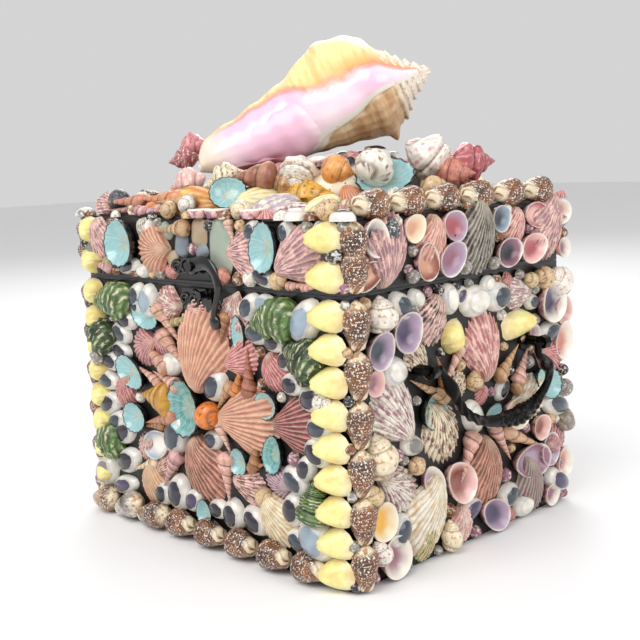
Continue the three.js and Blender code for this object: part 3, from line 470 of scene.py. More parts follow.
RIGHT_LID = {
    "spotted": [*row((-121, 218), (-121, 238), 2, 30, 21, 90, "brown", "white")],
    "snail": [(-84, 250, 16, 13, 90, "slate", "white"), (-61, 207, 12, 10, 0, "grey", "white"),
              (-3, 208, 13, 11, 0, "grey", "white"), (33, 208, 12, 10, 0, "grey", "white")],
    "cup": [(-101, 247, 26, 23, 95, "plum", "white"), (-60, 247, 22, 19, 30, "peach", "cream"),
            (-17, 247, 26, 22, 160, "rose", "lilac"), (40, 247, 22, 20, 20, "slate", "mist"),
            (86, 247, 30, 20, 170, "blush", "rose"), (124, 247, 24, 20, 0, "salmon", "white"),
            (-109, 211, 30, 18, 20, "peach", "rust"), (-48, 214, 27, 22, 95, "peach", "rust"),
            (-20, 215, 31, 23, 30, "mauve", "lilac"), (50, 215, 31, 22, 10, "plum", "mauve"),
            (82, 214, 34, 23, 10, "rose", "blush")],
    "scallop": [(-86, 224, 54, 42, 250, "mauve", "blush"), (-38, 233, 38, 34, 90, "salmon", "blush"),
                (14, 228, 56, 46, 90, "grey", "plum"), (62, 235, 32, 28, 90, "blush", "rose"),
                (106, 224, 54, 44, 80, "mauve", "blush")],
}
BACK_BODY = {
    "spotted": [*row((-112, 13), (112, 13), 7, 34, 22, 0, "brown", "white")],
    "cockle": [*row((150, 11), (150, 176), 8, 24, 21, 180, "lemon", "cream"),
               *row((-150, 11), (-150, 176), 8, 24, 21, 0, "lemon", "cream")],
    "scallop": [(0, 128, 58, 54, 270, "salmon", "peach"), (-38, 92, 54, 50, 0, "blush", "mauve"),
                (38, 92, 54, 50, 180, "mauve", "blush"), (0, 55, 54, 50, 90, "rust", "salmon"),
                (-100, 150, 44, 40, 300, "white", "sand"), (100, 150, 44, 40, 240, "pink", "white"),
                (-100, 46, 46, 42, 60, "cream", "maroon"), (100, 46, 46, 42, 120, "white", "mauve")],
    "limpet": [(0, 91, 30, 28, 90, "teal", "pine"), (-74, 122, 26, 20, 0, "sky", "slate"),
               (74, 122, 26, 20, 0, "sky", "slate")],
    "cup": [(-108, 98, 34, 28, 90, "violet", "lilac"), (108, 98, 34, 28, 90, "rust", "blush"),
            (-48, 150, 28, 24, 90, "peach", "cream"), (48, 150, 28, 24, 90, "violet", "white")],
    "turban": [(-66, 48, 40, 30, 200, "moss", "pine"), (66, 48, 40, 30, 340, "moss", "pine")],
}
BACK_LID = {
    "cockle": [*row((150, 224), (150, 246), 2, 24, 21, 180, "lemon", "cream"),
               *row((-150, 224), (-150, 246), 2, 24, 21, 0, "lemon", "cream")],
    "scallop": [*row((-112, 236), (112, 236), 5, 34, 32, 90, "mauve", "blush")],
    "cup": [*row((-84, 236), (84, 236), 4, 24, 20, 90, "rose", "lilac")],
}
FRONT_BASE = {"spotted": [*row((-30, 12), (114, 12), 5, 33, 22, 180, "brown", "white"),
                          (-65, 12, 40, 22, 10, "brown", "white"), (-134, 12, 32, 22, 10, "tan", "white"),
                          (-100, 12, 36, 22, 20, "white", "slate")]}


class Face:
    """One dressed side: its wall, its limits and its shells, with the gaps between them filled."""

    def __init__(self, name, body, wall, across, up, layout, replaced=(), more=(), seed=1):
        self.name, self.body, self.wall = name, body, wall
        self.across, self.up, self.replaced = across, up, replaced
        self.shells = {kind: list(shells) for kind, shells in layout.items()}
        for kind, shells in (more or {}).items():
            self.shells.setdefault(kind, []).extend(shells)
        self.random = np.random.default_rng(seed)

    def dress(self, kinds, tag):
        """One object of all the shells of some kinds, or none where the face has none of them."""
        pile = Pile()
        for kind in kinds:
            for u, v, length, width, turn, tint, *rest in self.shells.get(kind, ()):
                rings, facts = shape(kind, length, width, self.low(u, v))
                pile.add(self.set(rings, u, v, turn, *rest[1:]), tint, rest[0] if rest else None, **facts)
        if pile.count:
            material, slot = finish_of(kinds[0])
            replaced, self.replaced = self.replaced, ()
            pile.piece(f"{self.name}_{tag}", material, self.body, slot, replaced)

    def limit(self, u, v):
        """The greatest height of a shell over the glue: less where a handle hangs over it."""
        if self.wall is FRONT:
            return REACH["front"]
        if self.wall is BACK:
            return REACH["back"]
        half, foot, top = HANDLE_ZONE
        return REACH["under handle"] if abs(u) < half and foot < v < top else REACH["side"]

    def set(self, rings, u, v, turn):
        """Lays a shell in the glue of this face, sunk and pressed where it would be too high, and moved in
        where it would reach over an edge."""
        limit = self.limit(u, v)
        rings = rings - [0, 0, 0.6 * max(0.0, rings[..., 2].max() - limit)]
        rings = rings * [1, 1, min(1.0, limit / rings[..., 2].max())]
        c, s = math.cos(math.radians(turn)), math.sin(math.radians(turn))
        over = rings[..., 0] * c - rings[..., 1] * s + u
        up = rings[..., 0] * s + rings[..., 1] * c + v
        u += max(0.0, self.across[0] - over.min()) - max(0.0, over.max() - self.across[1])
        v += max(0.0, self.up[0] - up.min()) - max(0.0, up.max() - self.up[1])
        return self.wall.put(rings, (u, v, BED), turn)

    def low(self, u, v):
        """Whether the hook passes over this place."""
        return self.wall is FRONT and u > PIVOT.x - 8 and math.hypot(u - PIVOT.x, v - PIVOT.z) < HOOK_REACH

    def fill(self, kept_clear, smallest=2.9, largest=30.0):
        """Fills the bare glue. Each next shell goes where the nearest shell or edge is furthest away, and
        is a little wider than twice that distance, up to the largest."""
        step = 2.5
        u, v = np.meshgrid(np.arange(self.across[0], self.across[1], step), np.arange(*self.up, step))
        edges = [u - self.across[0], self.across[1] - u, v - self.up[0], self.up[1] - v]
        gap = np.minimum.reduce(edges) + 3.5

        def cover(u0, v0, length, width, turn):
            c, s = math.cos(math.radians(turn)), math.sin(math.radians(turn))
            x, y = (u - u0) * c + (v - v0) * s, (v - v0) * c - (u - u0) * s
            return (np.hypot(x / (length / 2), y / (width / 2)) - 1) * min(length, width) / 2

        for each in [shell for shells in self.shells.values() for shell in shells] + list(kept_clear):
            gap = np.minimum(gap, cover(*each[:5]))
        for _ in range(400):
            most = np.unravel_index(np.argmax(gap), gap.shape)
            if gap[most] < smallest:
                break
            size = float(np.clip(2.35 * gap[most], 7.5, largest))
            kind, tint, mark = self.pick(size)
            turn = float(self.random.uniform(0, 360))
            long = {"auger": 1.9, "cowrie": 1.3, "snail": 1.15}.get(kind, 1.1)
            wide = {"auger": 0.75, "cowrie": 0.95}.get(kind, 1.0)
            place = (float(u[most]), float(v[most]))
            self.shells.setdefault(kind, []).append((*place, size * long, size * wide, turn, tint, mark))
            gap = np.minimum(gap, cover(*place, size * long, size * wide, turn))

    def pick(self, size):
        """A kind and two colours for a filling shell of a size."""
        ways = {
            "large": [("scallop", "blush", "mauve"), ("scallop", "mauve", "white"),
                      ("cup", "violet", "lilac"), ("cup", "rust", "blush"), ("scallop", "cream", "maroon"),
                      ("snail", "cream", "tan")],
            "middle": [("cowrie", "plum", "white"), ("cowrie", "slate", "white"), ("cup", "mauve", "white"),
                       ("snail", "sand", "brown"), ("cowrie", "white", "white"),
                       ("scallop", "pink", "rose")],
            "small": [("pebble", "white", "grey"), ("pebble", "sand", "brown"), ("pebble", "grey", "white"),
                      ("pebble", "brown", "white"), ("pebble", "mauve", "white"),
                      ("pebble", "plum", "white")],
        }["large" if size > 20 else "middle" if size > 12 else "small"]
        return ways[int(self.random.integers(len(ways)))]


def faces():
    """All the dressed sides, filled, in the order front, right, back, left."""
    side, other, wide = (-HALF_Y - 5, HALF_Y + 9), (-HALF_Y - 9, HALF_Y + 5), (-HALF_X - 4, HALF_X + 4)
    left_body, left_lid = mirrored(RIGHT_BODY), mirrored(RIGHT_LID)
    made = [
        Face("front", "box", FRONT, wide, BODY_BAND, FRONT_BODY, [
            "front_field", "cockles_left", "cockles_right", "front_base_row", "flower_scallop_top",
            "flower_scallop_right", "flower_scallop_bottom", "flower_trochus_left", "flower_limpet",
            "flower_snail", *(f"green_turban_{i}" for i in range(1, 7))], FRONT_BASE, 3),
        Face("lid_front", "lid", FRONT, wide, LID_BAND, FRONT_LID,
             ["lid_front_field", "lid_cockles_left", "lid_cockles_right"], (), 4),
        Face("right", "box", RIGHT, side, BODY_BAND, RIGHT_BODY,
             ["right_field", "right_corner_column"], (), 5),
        Face("lid_right", "lid", RIGHT, side, LID_BAND, RIGHT_LID,
             ["lid_right_field", "lid_right_corner_column"], (), 6),
        Face("back", "box", BACK, wide, (BODY_BAND[0], SEAM - HINGE_STRIP), BACK_BODY, ["back_field"], (), 7),
        Face("lid_back", "lid", BACK, wide, (SEAM + HINGE_STRIP, LID_BAND[1]), BACK_LID,
             ["lid_back_field"], (), 8),
        Face("left", "box", LEFT, other, BODY_BAND, left_body, ["left_field", "left_corner_column"], (), 9),
        Face("lid_left", "lid", LEFT, other, LID_BAND, left_lid,
             ["lid_left_field", "lid_left_corner_column"], (), 10),
    ]
    plates = [(-5, 205, 62, 40, 0)]
    for face in made:
        face.fill(plates if face.wall is FRONT else ())
    return made


FACES = faces()


# ---------------------------------------------------------------- shader values
class Value:
    """A socket that Python's arithmetic builds Math nodes on."""

    def __init__(self, finish, socket):
        self.finish, self.socket = finish, socket

    def math(self, operation, *values):
        return self.finish.node("ShaderNodeMath", {"operation": operation}, dict(enumerate(values)))

    def __add__(self, other):
        return self.math("ADD", self, other)

    def __sub__(self, other):
        return self.math("SUBTRACT", self, other)

    def __mul__(self, other):
        return self.math("MULTIPLY", self, other)

    def __rsub__(self, other):
        return self.math("SUBTRACT", other, self)

    def frac(self):
        return self.math("FRACT", self)

    def wave(self, count):
        """From 0 to 1 and back, count times for each unit of the value."""
        return self.math("SINE", self * (math.tau * count)) * 0.5 + 0.5

    def step(self, low, high):
        """0 below low, 1 above high, and smooth between; low may be the greater."""
        settings = {"interpolation_type": "SMOOTHSTEP"}
        return self.finish.node("ShaderNodeMapRange", settings, {0: self, 1: low, 2: high, 3: 0.0, 4: 1.0})


class Finish:
    """A material and its nodes."""

    def __init__(self, name, **plain):
        self.material = bpy.data.materials.new(name)
        self.material.use_nodes = True
        self.tree = self.material.node_tree
        self.shader = self.tree.nodes["Principled BSDF"]
        for socket, value in plain.items():
            self.shader.inputs[socket.replace("_", " ").title().replace("Ior", "IOR")].default_value = value

    def node(self, kind, settings=None, inputs=None, output=0):
        """A node: its settings first, then the values or links of its sockets."""
        made = self.tree.nodes.new(kind)
        for name, value in (settings or {}).items():
            setattr(made, name, value)
        for name, value in (inputs or {}).items():
            if isinstance(value, Value):
                self.tree.links.new(value.socket, made.inputs[name])
            else:
                made.inputs[name].default_value = value
        return Value(self, made.outputs[output])

    def colour(self, name):
        """A colour carried by the mesh."""
        return self.node("ShaderNodeAttribute", {"attribute_name": name})

    def wrap(self, number):
        """The first or the second number of the surface map."""
        both = self.node("ShaderNodeUVMap", {"uv_map": "wrap"})
        return self.node("ShaderNodeSeparateXYZ", {}, {0: both}, number)

    def place(self):
        return self.node("ShaderNodeTexCoord", {}, {}, 3)

    def noise(self, scale, detail=2.0, at=None, rough=0.5):
        where = self.place() if at is None else at
        inputs = {"Vector": where, "Scale": scale, "Detail": detail, "Roughness": rough}
        return self.node("ShaderNodeTexNoise", {}, inputs)

    def point(self, x, y, z=0.0):
        return self.node("ShaderNodeCombineXYZ", {}, {0: x, 1: y, 2: z})

    def mix(self, share, low, high):
        """From one colour to another."""
        low, high = (ink(c) if isinstance(c, str) else c for c in (low, high))
        return self.node("ShaderNodeMix", {"data_type": "RGBA"}, {0: share, 6: low, 7: high}, 2)

    def shade(self, colour, rough=None, height=None, strength=0.3, distance=0.0004):
        """Feeds the shader's colour, its roughness and a bump."""
        self.tree.links.new(colour.socket, self.shader.inputs["Base Color"])
        if rough is not None:
            self.tree.links.new(rough.socket, self.shader.inputs["Roughness"])
        if height is not None:
            relief = {"Height": height, "Strength": strength, "Distance": distance}
            bump = self.node("ShaderNodeBump", {}, relief)
            self.tree.links.new(bump.socket, self.shader.inputs["Normal"])
        return self.material


def shell_finish(name, rough=0.4, coat=0.25):
    """A shell's material, with a thin wet-looking coat."""
    return Finish(name, roughness=rough, coat_weight=coat, coat_roughness=0.15)


def grime(finish, colour, amount=0.5):
    """Darkens a colour in soft patches, as dust and glue do."""
    patch = finish.noise(160.0, 3.0).step(0.62, 0.35) * amount
    return finish.mix(patch, colour, finish.mix(0.55, colour, "bark"))


def cockle_finish():
    """Pale lemon with cream rims and faint growth lines."""
    f = shell_finish("pale_yellow_shell", 0.42)
    along = f.wrap(1)
    colour = f.mix(along.step(0.72, 1.0) * 0.7, f.colour("tint"), f.colour("mark"))
    colour = f.mix(f.noise(90.0).step(0.4, 0.7) * 0.35, colour, "gold")
    colour = f.mix(along.step(0.22, 0.05) * 0.5, colour, "sand")
    return f.shade(grime(f, colour, 0.25), None, along.wave(9) + f.noise(500.0), 0.25)


def scallop_finish():
    """Ribs and blotches in two colours, in bands that follow the growth lines; painted shade between the ribs.
    """
    f = shell_finish("ribbed_scallop_shell", 0.48, 0.12)
    around, along = f.wrap(0), f.wrap(1)
    crest = (around + 0.25).wave(1)
    spread = f.point(around * 1.1, along * 6, f.noise(60.0) * 5)
    blotch = f.noise(1.0, 2.0, spread, 0.6).step(0.46, 0.6)
    bands = along.wave(3.0).step(0.35, 0.9) * 0.35
    colour = f.mix(blotch * 0.85 + bands * 0.4, f.colour("tint"), f.colour("mark"))
    colour = f.mix(along.step(0.3, 0.05) * 0.35, colour, "cream")
    fine = f.noise(1.0, 2.0, f.point(around * 4, along * 10))
    colour = f.mix(crest.step(0.5, 0.95) * 0.32, colour, "cream")
    # painted shade: the grooves between the ribs darkened toward the second colour mixed with dark brown
    colour = f.mix(crest.step(0.4, 0.0) * 0.5, colour, f.mix(0.55, f.colour("mark"), "bark"))
    return f.shade(grime(f, colour, 0.3), None, along.wave(22) * 0.3 + fine * 0.5 + crest, 0.5)


def spotted_finish():
    """Brown with small white flecks, a streaked tan waist, a white shoulder and a pale streaked end."""
    f = shell_finish("spotted_brown_shell", 0.34, 0.35)
    around, along = f.wrap(0), f.wrap(1)
    flecks = f.noise(1.0, 2.0, f.point(around * 38, along * 25, f.noise(40.0) * 5), 0.7).step(0.57, 0.61)
    brown = f.mix(f.noise(70.0).step(0.3, 0.7), f.colour("tint"), "bark")
    brown = f.mix(f.noise(1.0, 2.0, f.point(around * 3, along * 9)).step(0.5, 0.7) * 0.5, brown, "tan")
    streaks = f.noise(1.0, 2.0, f.point(around * 9 + along * 6, along * 3)).step(0.46, 0.6)
    end = f.mix(streaks, "cream", f.colour("tint"))
    colour = f.mix(flecks, brown, f.colour("mark"))
    colour = f.mix(along.step(0.72, 0.86) * 0.8, colour, end)
    head = f.mix(f.noise(300.0).step(0.5, 0.62), "cream", "tan")
    colour = f.mix(along.step(0.24, 0.12) * 0.85, colour, head)
    return f.shade(grime(f, colour, 0.3), None, along.wave(12) * 0.5 + flecks, 0.25)


def turban_finish():
    """Mossy green cords round each whorl, painted shade between them, dark bars, a pale bloom and a black seam.
    """
    f = shell_finish("green_turban_shell", 0.42, 0.25)
    around, along = f.wrap(0), f.wrap(1)
    bars = f.noise(1.0, 3.0, f.point(around * 14, along * 2.2), 0.6).step(0.46, 0.6)
    cords = along.wave(5)
    colour = f.mix(bars * 0.6, f.colour("tint"), f.colour("mark"))
    # painted shade: the grooves between the cords darkened to pine green
    colour = f.mix(cords.step(0.45, 0.1) * 0.6, colour, "pine")
    colour = f.mix(cords.step(0.5, 0.9) * f.noise(210.0, 3.0).step(0.46, 0.6) * 0.6, colour, "cream")
    colour = f.mix(along.frac().step(0.14, 0.02) * 0.85, colour, "black")
    return f.shade(colour, None, cords + f.noise(420.0, 4.0) * 0.8, 0.8, 0.0009)


def cowrie_finish():
    """White with a dark oval on the back and a thin warm line round it."""
    f = shell_finish("purple_topped_cowrie", 0.22, 0.6)
    along = f.wrap(1)
    edge = along + (f.noise(140.0) - 0.5) * 0.18
    colour = f.mix(f.noise(120.0).step(0.3, 0.7) * 0.4, "white", "mist")
    colour = f.mix(edge.step(0.55, 0.7) * 0.35, colour, "grey")
    patch = f.mix(f.noise(110.0, 3.0).step(0.35, 0.7) * 0.25, f.colour("tint"), "slate")
    colour = f.mix(edge.step(0.72, 0.77), colour, patch)
    return f.shade(colour)


def limpet_finish():
    """Turquoise pearl inside with fine rays, a darker heart and a dark rim."""
    f = shell_finish("turquoise_limpet", 0.2, 0.8)
    around, along = f.wrap(0), f.wrap(1)
    rings = (along + f.noise(60.0) * 0.15).wave(5)
    colour = f.mix(rings * 0.35 + along.step(0.3, 0.6) * 0.4, f.colour("tint"), "sky")
    colour = f.mix(along.step(0.28, 0.1) * 0.55, colour, f.mix(f.noise(200.0), "teal", "sand"))
    rays = f.noise(1.0, 2.0, f.point(around * 60, along * 2)).step(0.4, 0.7)
    colour = f.mix(rays * 0.3, colour, "white")
    colour = f.mix(along.step(0.64, 0.7), colour, f.mix(rays * 0.5, "black", f.colour("mark")))
    return f.shade(colour, None, rings * 0.4 + rays * 0.5, 0.2)


def cup_finish():
    """The hollow's own colour fading to the second one, with a white rim and a rosy outside."""
    f = shell_finish("open_valve", 0.28, 0.5)
    along = f.wrap(1)
    side = along + (f.noise(70.0) - 0.5) * 0.35
    colour = f.mix(side.step(0.15, 0.62), f.colour("tint"), f.colour("mark"))
    colour = f.mix(side.step(0.58, 0.72) * 0.85, colour, "white")
    outside = f.mix(f.noise(220.0, 3.0).step(0.42, 0.6), "blush", "mauve")
    colour = f.mix(along.step(0.77, 0.84), colour, outside)
    return f.shade(colour, None, along.wave(8) * 0.4 + f.noise(300.0), 0.15)


def auger_finish():
    """Warm beige whorls with a pale seam and broken dashes."""
    f = shell_finish("slender_auger", 0.4, 0.25)
    around, along = f.wrap(0), f.wrap(1)
    turn = along.frac()
    dashes = f.noise(1.0, 2.0, f.point(around * 16, along * 2)).step(0.5, 0.62)
    colour = f.mix(turn.wave(1) * 0.45 + f.noise(90.0) * 0.35, f.colour("tint"), f.colour("mark"))
    colour = f.mix(dashes * 0.3, colour, "brown")
    colour = f.mix(turn.step(0.86, 0.98) * 0.7 + turn.step(0.1, 0.0) * 0.7, colour, "bark")
    return f.shade(grime(f, colour, 0.25), None, turn.wave(4) * 0.5 + dashes, 0.35)


def snail_finish():
    """Pale whorls with stripes and flecks of the second colour."""
    f = shell_finish("round_snail", 0.32, 0.4)
    around, along = f.wrap(0), f.wrap(1)
    turn = along.frac()
    stripes = turn.wave(3).step(0.62, 0.8)
    flecks = f.noise(1.0, 2.0, f.point(around * 22, along * 3)).step(0.48, 0.6)
    colour = f.mix((stripes * 0.6 + 0.25) * flecks, f.colour("tint"), f.colour("mark"))
    colour = f.mix(turn.step(0.1, 0.0) * 0.6 + turn.step(0.92, 1.0) * 0.5, colour, "bark")
    return f.shade(grime(f, colour, 0.3), None, turn.wave(5) + flecks * 0.5, 0.35)


def glass_finish():
    """Frosted sea glass."""
    f = Finish("frosted_sea_glass", roughness=0.42, transmission_weight=0.45, ior=1.5)
    colour = f.mix(f.noise(120.0).step(0.3, 0.7) * 0.3, f.colour("tint"), "white")
    return f.shade(colour, None, f.noise(900.0, 4.0), 0.25)


def pebble_finish():
    """Small filling shells, flecked with their second colour."""
    f = shell_finish("small_filler_shell", 0.4, 0.3)
    along = f.wrap(1)
    flecks = f.noise(420.0, 3.0).step(0.5, 0.6)
    colour = f.mix(flecks * 0.7, f.colour("tint"), f.colour("mark"))
    return f.shade(grime(f, colour, 0.35), None, flecks + along.wave(6) * 0.6, 0.4)


def lacquer_finish(name="black_lacquer", rough=0.28, coat=0.4):
    """Black gloss paint with brush marks and worn, dustier patches."""
    f = Finish(name, roughness=rough, coat_weight=coat, coat_roughness=0.1)
    wear = f.noise(35.0, 5.0)
    colour = f.mix(wear.step(0.5, 0.85) * 0.35, "black", "bark")
    return f.shade(colour, f.noise(60.0, 3.0) * 0.25 + (rough - 0.1), f.noise(420.0, 3.0), 0.12)


def iron_finish():
    """Black japanned iron, rubbed a little on its high places."""
    f = Finish("black_japanned_iron", metallic=0.35, roughness=0.2, coat_weight=0.6, coat_roughness=0.06)
    colour = f.mix(f.noise(140.0, 4.0).step(0.6, 0.8) * 0.4, "black", "slate")
    return f.shade(colour, f.noise(180.0) * 0.2 + 0.12, f.noise(260.0, 2.0), 0.25, 0.0005)


def bronze_finish():
    """Dark bronzed casting with worn metal showing through."""
    f = Finish("dark_bronzed_casting", metallic=0.75, roughness=0.3)
    worn = f.noise(120.0, 4.0).step(0.52, 0.75)
    colour = f.mix(worn * 0.3, "black", "grey")
    return f.shade(colour, 0.34 - worn * 0.14, f.noise(600.0, 3.0), 0.35, 0.0005)


FINISHES = {
    "cockle": (cockle_finish, "yellow_shell"), "scallop": (scallop_finish, "scallop_shell"),
    "clam": (scallop_finish, "orange_shell"), "spotted": (spotted_finish, "spotted_shell"),
    "turban": (turban_finish, "green_shell"), "cowrie": (cowrie_finish, "pale_shell"),
    "limpet": (limpet_finish, "blue_shell"), "cup": (cup_finish, "mixed_shell"),
    "auger": (auger_finish, "mixed_shell"), "trochus": (auger_finish, "orange_shell"),
    "whelk": (snail_finish, "mixed_shell"), "snail": (snail_finish, "mixed_shell"),
    "glass": (glass_finish, "pale_shell"), "pebble": (pebble_finish, "mixed_shell"),
}


@functools.cache
def finish_of(kind):
    """The material of a kind of shell, made once, and the record's slot for it."""
    make, slot = FINISHES[kind]
    return make(), slot


# ---------------------------------------------------------------- the heap on the lid
# As on the sides. A shell that is lifted up also has the height of its middle over the floor, and one that
# leans has the angle that it is tipped by from facing up.
HEAP_SHELLS = {
    "spotted": [*((HALF_X, y, 35, 22, 90, "brown", "white") for y in (-96, -59, -21, 20, 59, 98)),
                *((-HALF_X, y, 35, 22, 270, "brown", "white") for y in (-96, -59, -21, 20, 59, 98))],
    "clam": [(-22, -106, 50, 36, 340, "orange", "gold", 264, 48),
             (33, -92, 38, 28, 200, "lemon", "cream", 266, 45),
             (-60, -108, 34, 26, 20, "orange", "peach", 264, 45),
             (66, -106, 36, 26, 10, "lilac", "white", 262, 40),
             (93, -112, 30, 22, 350, "white", "mauve", 258, 40),
             (118, -110, 26, 22, 20, "lemon", "cream", 262, 40),
             (-88, -112, 28, 24, 90, "white", "sand", 262, 40)],
    "limpet": [(12, -104, 28, 25, 20, "sky", "slate", 269, 62),
               (100, -27, 44, 34, 14, "sky", "black", 275, 50)],
    "scallop": [(88, -50, 28, 27, 120, "salmon", "orange", 264, 35),
                (-130, -112, 32, 28, 300, "blush", "mauve", 264, 40),
                (-96, 12, 40, 38, 200, "blush", "mauve"), (-40, 96, 42, 40, 160, "mauve", "white"),
                (24, 104, 40, 38, 120, "cream", "maroon"), (104, 62, 40, 38, 80, "pink", "white"),
                (112, 108, 34, 30, 60, "blush", "rose"), (-112, 92, 38, 36, 150, "white", "sand")],
    "trochus": [(13, -74, 42, 22, 216, "rust", "peach", 285)],
    "whelk": [(31, -60, 36, 20, 214, "tan", "sand", 281), (36, -50, 34, 31, 318, "white", "tan", 291),
              (60, -72, 46, 24, 214, "gold", "brown", 265), (-6, -84, 34, 26, 240, "cream", "brown", 281),
              (-50, -84, 30, 24, 220, "blush", "white", 279), (80, 20, 46, 34, 40, "white", "pink", 303),
              (128, -46, 22, 17, 20, "white", "grey", 262), (126, 22, 34, 26, 20, "salmon", "rose", 277),
              (-89, -46, 30, 24, 200, "pink", "rose", 307), (-84, -60, 26, 20, 230, "rose", "white", 297),
              (128, 40, 40, 30, 60, "rose", "pink", 285), (-66, 44, 38, 28, 150, "cream", "tan"),
              (0, 66, 36, 28, 100, "white", "brown"), (58, 66, 36, 30, 70, "sand", "brown")],
    "snail": [(54, -33, 25, 23, 45, "apricot", "orange", 295),
              (70, -17, 32, 30, 130, "white", "brown", 297),
              (-120, -112, 22, 20, 300, "slate", "grey", 264), (112, -102, 22, 20, 300, "sand", "tan", 258),
              (-14, -124, 16, 14, 300, "white", "grey", 262), (46, -122, 20, 16, 300, "cream", "tan", 258),
              (132, -8, 22, 18, 60, "sand", "tan", 268), (-62, -84, 30, 26, 240, "sand", "tan"),
              (96, 92, 28, 24, 60, "cream", "tan"), (-24, 76, 28, 24, 130, "white", "tan")],
    "auger": [(-104, -118, 52, 13, 190, "salmon", "peach", 264),
              (-62, -114, 56, 14, 186, "peach", "orange", 266),
              (-36, -118, 46, 13, 184, "sand", "tan", 264), (-108, -126, 48, 9, 186, "mauve", "sand", 257),
              (-60, -126, 40, 10, 8, "blush", "mauve", 257), (90, -72, 38, 12, 210, "cream", "tan", 258),
              (108, -50, 36, 12, 250, "tan", "sand", 262), (60, -28, 40, 9, 340, "white", "tan", 284)],
    "dotted": [(72, -44, 56, 34, 0, "cream", "tan", 275, 45)],
}


class Top(Face):
    """The lid's upper face, whose shells lie on the heap."""

    def set(self, rings, u, v, turn, height=None, lean=None):
        """Lays a shell on the heap's slope, or with its middle at its own height over the floor, or tipped by
        the angle lean from facing up toward the box's front right corner."""
        if lean is not None:
            half, c, s = math.sqrt(0.5), math.cos(math.radians(lean)), math.sin(math.radians(lean))
            tipped = Wall((u, v, height), (half, half, 0), (-half * c, half * c, s))
            return tipped.put(rings, (0, 0, -0.4 * rings[..., 2].max()), turn)
        reach = 0.5 * np.ptp(rings[..., 0])
        v = min(max(v, self.up[0] + 0.6 * reach), self.up[1] - 0.6 * reach)
        wall = heap_wall(u, v)
        lift = 0.0
        if height is not None:
            lift = height - wall.origin[2] - rings[..., 2].max() * 0.4
        return wall.put(rings, (0, 0, lift), turn)


def top_face():
    """The lid's top with the conch's place kept clear and the rest filled."""
    reach = HALF_X + 8
    replaced = ["lid_top_field", "lid_right_edge_row", "lid_left_edge_row", "sunrise_clam", "top_limpet",
                "spotted_dome", "ochre_strombus"]
    made = Top("top", "lid", TOP, (-reach, reach), (-HALF_Y - 7, HALF_Y + 3), HEAP_SHELLS, replaced, (), 21)
    made.fill([(4, 4, 130, 20, 45)], 3.2, 17.0)
    return made


FACES.append(top_face())


def dotted_finish():
    """Cream with scattered small dots."""
    f = shell_finish("dotted_cream_shell", 0.35, 0.4)
    dots = f.node("ShaderNodeTexVoronoi", {}, {"Vector": f.place(), "Scale": 210.0})
    colour = f.mix(f.noise(50.0) * 0.4, f.colour("tint"), "white")
    colour = f.mix(dots.step(0.24, 0.12) * 0.8, colour, "brown")
    return f.shade(colour, None, f.noise(300.0), 0.15)


FINISHES["dotted"] = dotted_finish, "spotted_shell"


# ---------------------------------------------------------------- the conch
CONCH = {"length": 204.0, "tip": -95.0, "height": 288.0, "slope": 20.6}
CONCH_BODY = [(0, 3), (0.08, 11), (0.2, 17.5), (0.35, 23), (0.5, 27), (0.65, 31), (0.79, 34), (0.86, 25),
              (0.9, 17), (0.94, 11), (0.97, 6), (1, 1)]
CONCH_REACH = [(0.0, 6), (0.05, 18), (0.12, 24), (0.24, 28), (0.36, 35), (0.5, 45), (0.64, 57), (0.7, 56),
               (0.76, 50), (0.8, 45), (0.83, 34), (0.87, 27), (0.92, 16), (0.96, 7)]
CONCH_FOLD = [(0.0, -3), (0.1, -9), (0.3, -17), (0.44, -24), (0.52, -17), (0.6, -14), (0.68, -10),
              (0.73, -5), (0.8, -2), (0.88, -1.5), (0.96, 0)]


def conch_wall():
    """The conch's own plane: along its axis from the siphon to the spire, and across it upward."""
    slope, half = math.radians(CONCH["slope"]), math.sqrt(0.5)
    along = np.array([math.cos(slope) * half, math.cos(slope) * half, math.sin(slope)])
    across = np.array([-math.sin(slope) * half, -math.sin(slope) * half, math.cos(slope)])
    return Wall((CONCH["tip"] * half, CONCH["tip"] * half, CONCH["height"]), along, across)


def conch_body(rows=170, columns=96):
    """The body whorl and spire: a profile turned round the axis, with blunt knobs on the shoulder as a bell
    curve along times a narrow cosine round, smaller ones up the spire, and long wrinkles."""
    s = np.linspace(0.002, 1, rows)[:, None]
    turn = (np.arange(columns) * math.tau / columns)[None]
    flutes = 0.012 * np.clip(8 * s - 3.6, 0, 1) * np.sin(26 * turn + 9 * s)
    radius = smooth(CONCH_BODY, s) * (1 + flutes + 0.015 * np.sin(70 * s + 2 * np.cos(turn)))
    hidden = np.clip(1.2 - 2.2 * np.clip(np.sin(turn), 0, 1), 0, 1)
    knob = np.clip(np.cos(3.5 * (turn + 0.25)), 0, 1) ** 8 + np.clip(-np.cos(3.5 * (turn + 0.25)), 0, 1) ** 8
    radius = radius + 8.5 * hidden * knob * np.exp(-((s - 0.785) / 0.022) ** 2)
    whorl = (6 * (s - 0.82) / 0.18) - turn / math.tau
    spire_part = np.clip((s - 0.82) / 0.03, 0, 1)
    radius = radius * (1 + spire_part * (0.22 * np.abs(np.sin(math.pi * whorl)) ** 0.6 - 0.12))
    nodules = np.clip(np.cos(9 * turn), 0, 1) ** 3 * np.sin(math.pi * (whorl % 1)) ** 2
    radius = radius + spire_part * 1.6 * nodules
    x = CONCH["length"] * s + 0 * radius
    return np.stack([x, radius * np.cos(turn), radius * np.sin(turn)], -1), {"along": s[:, 0]}


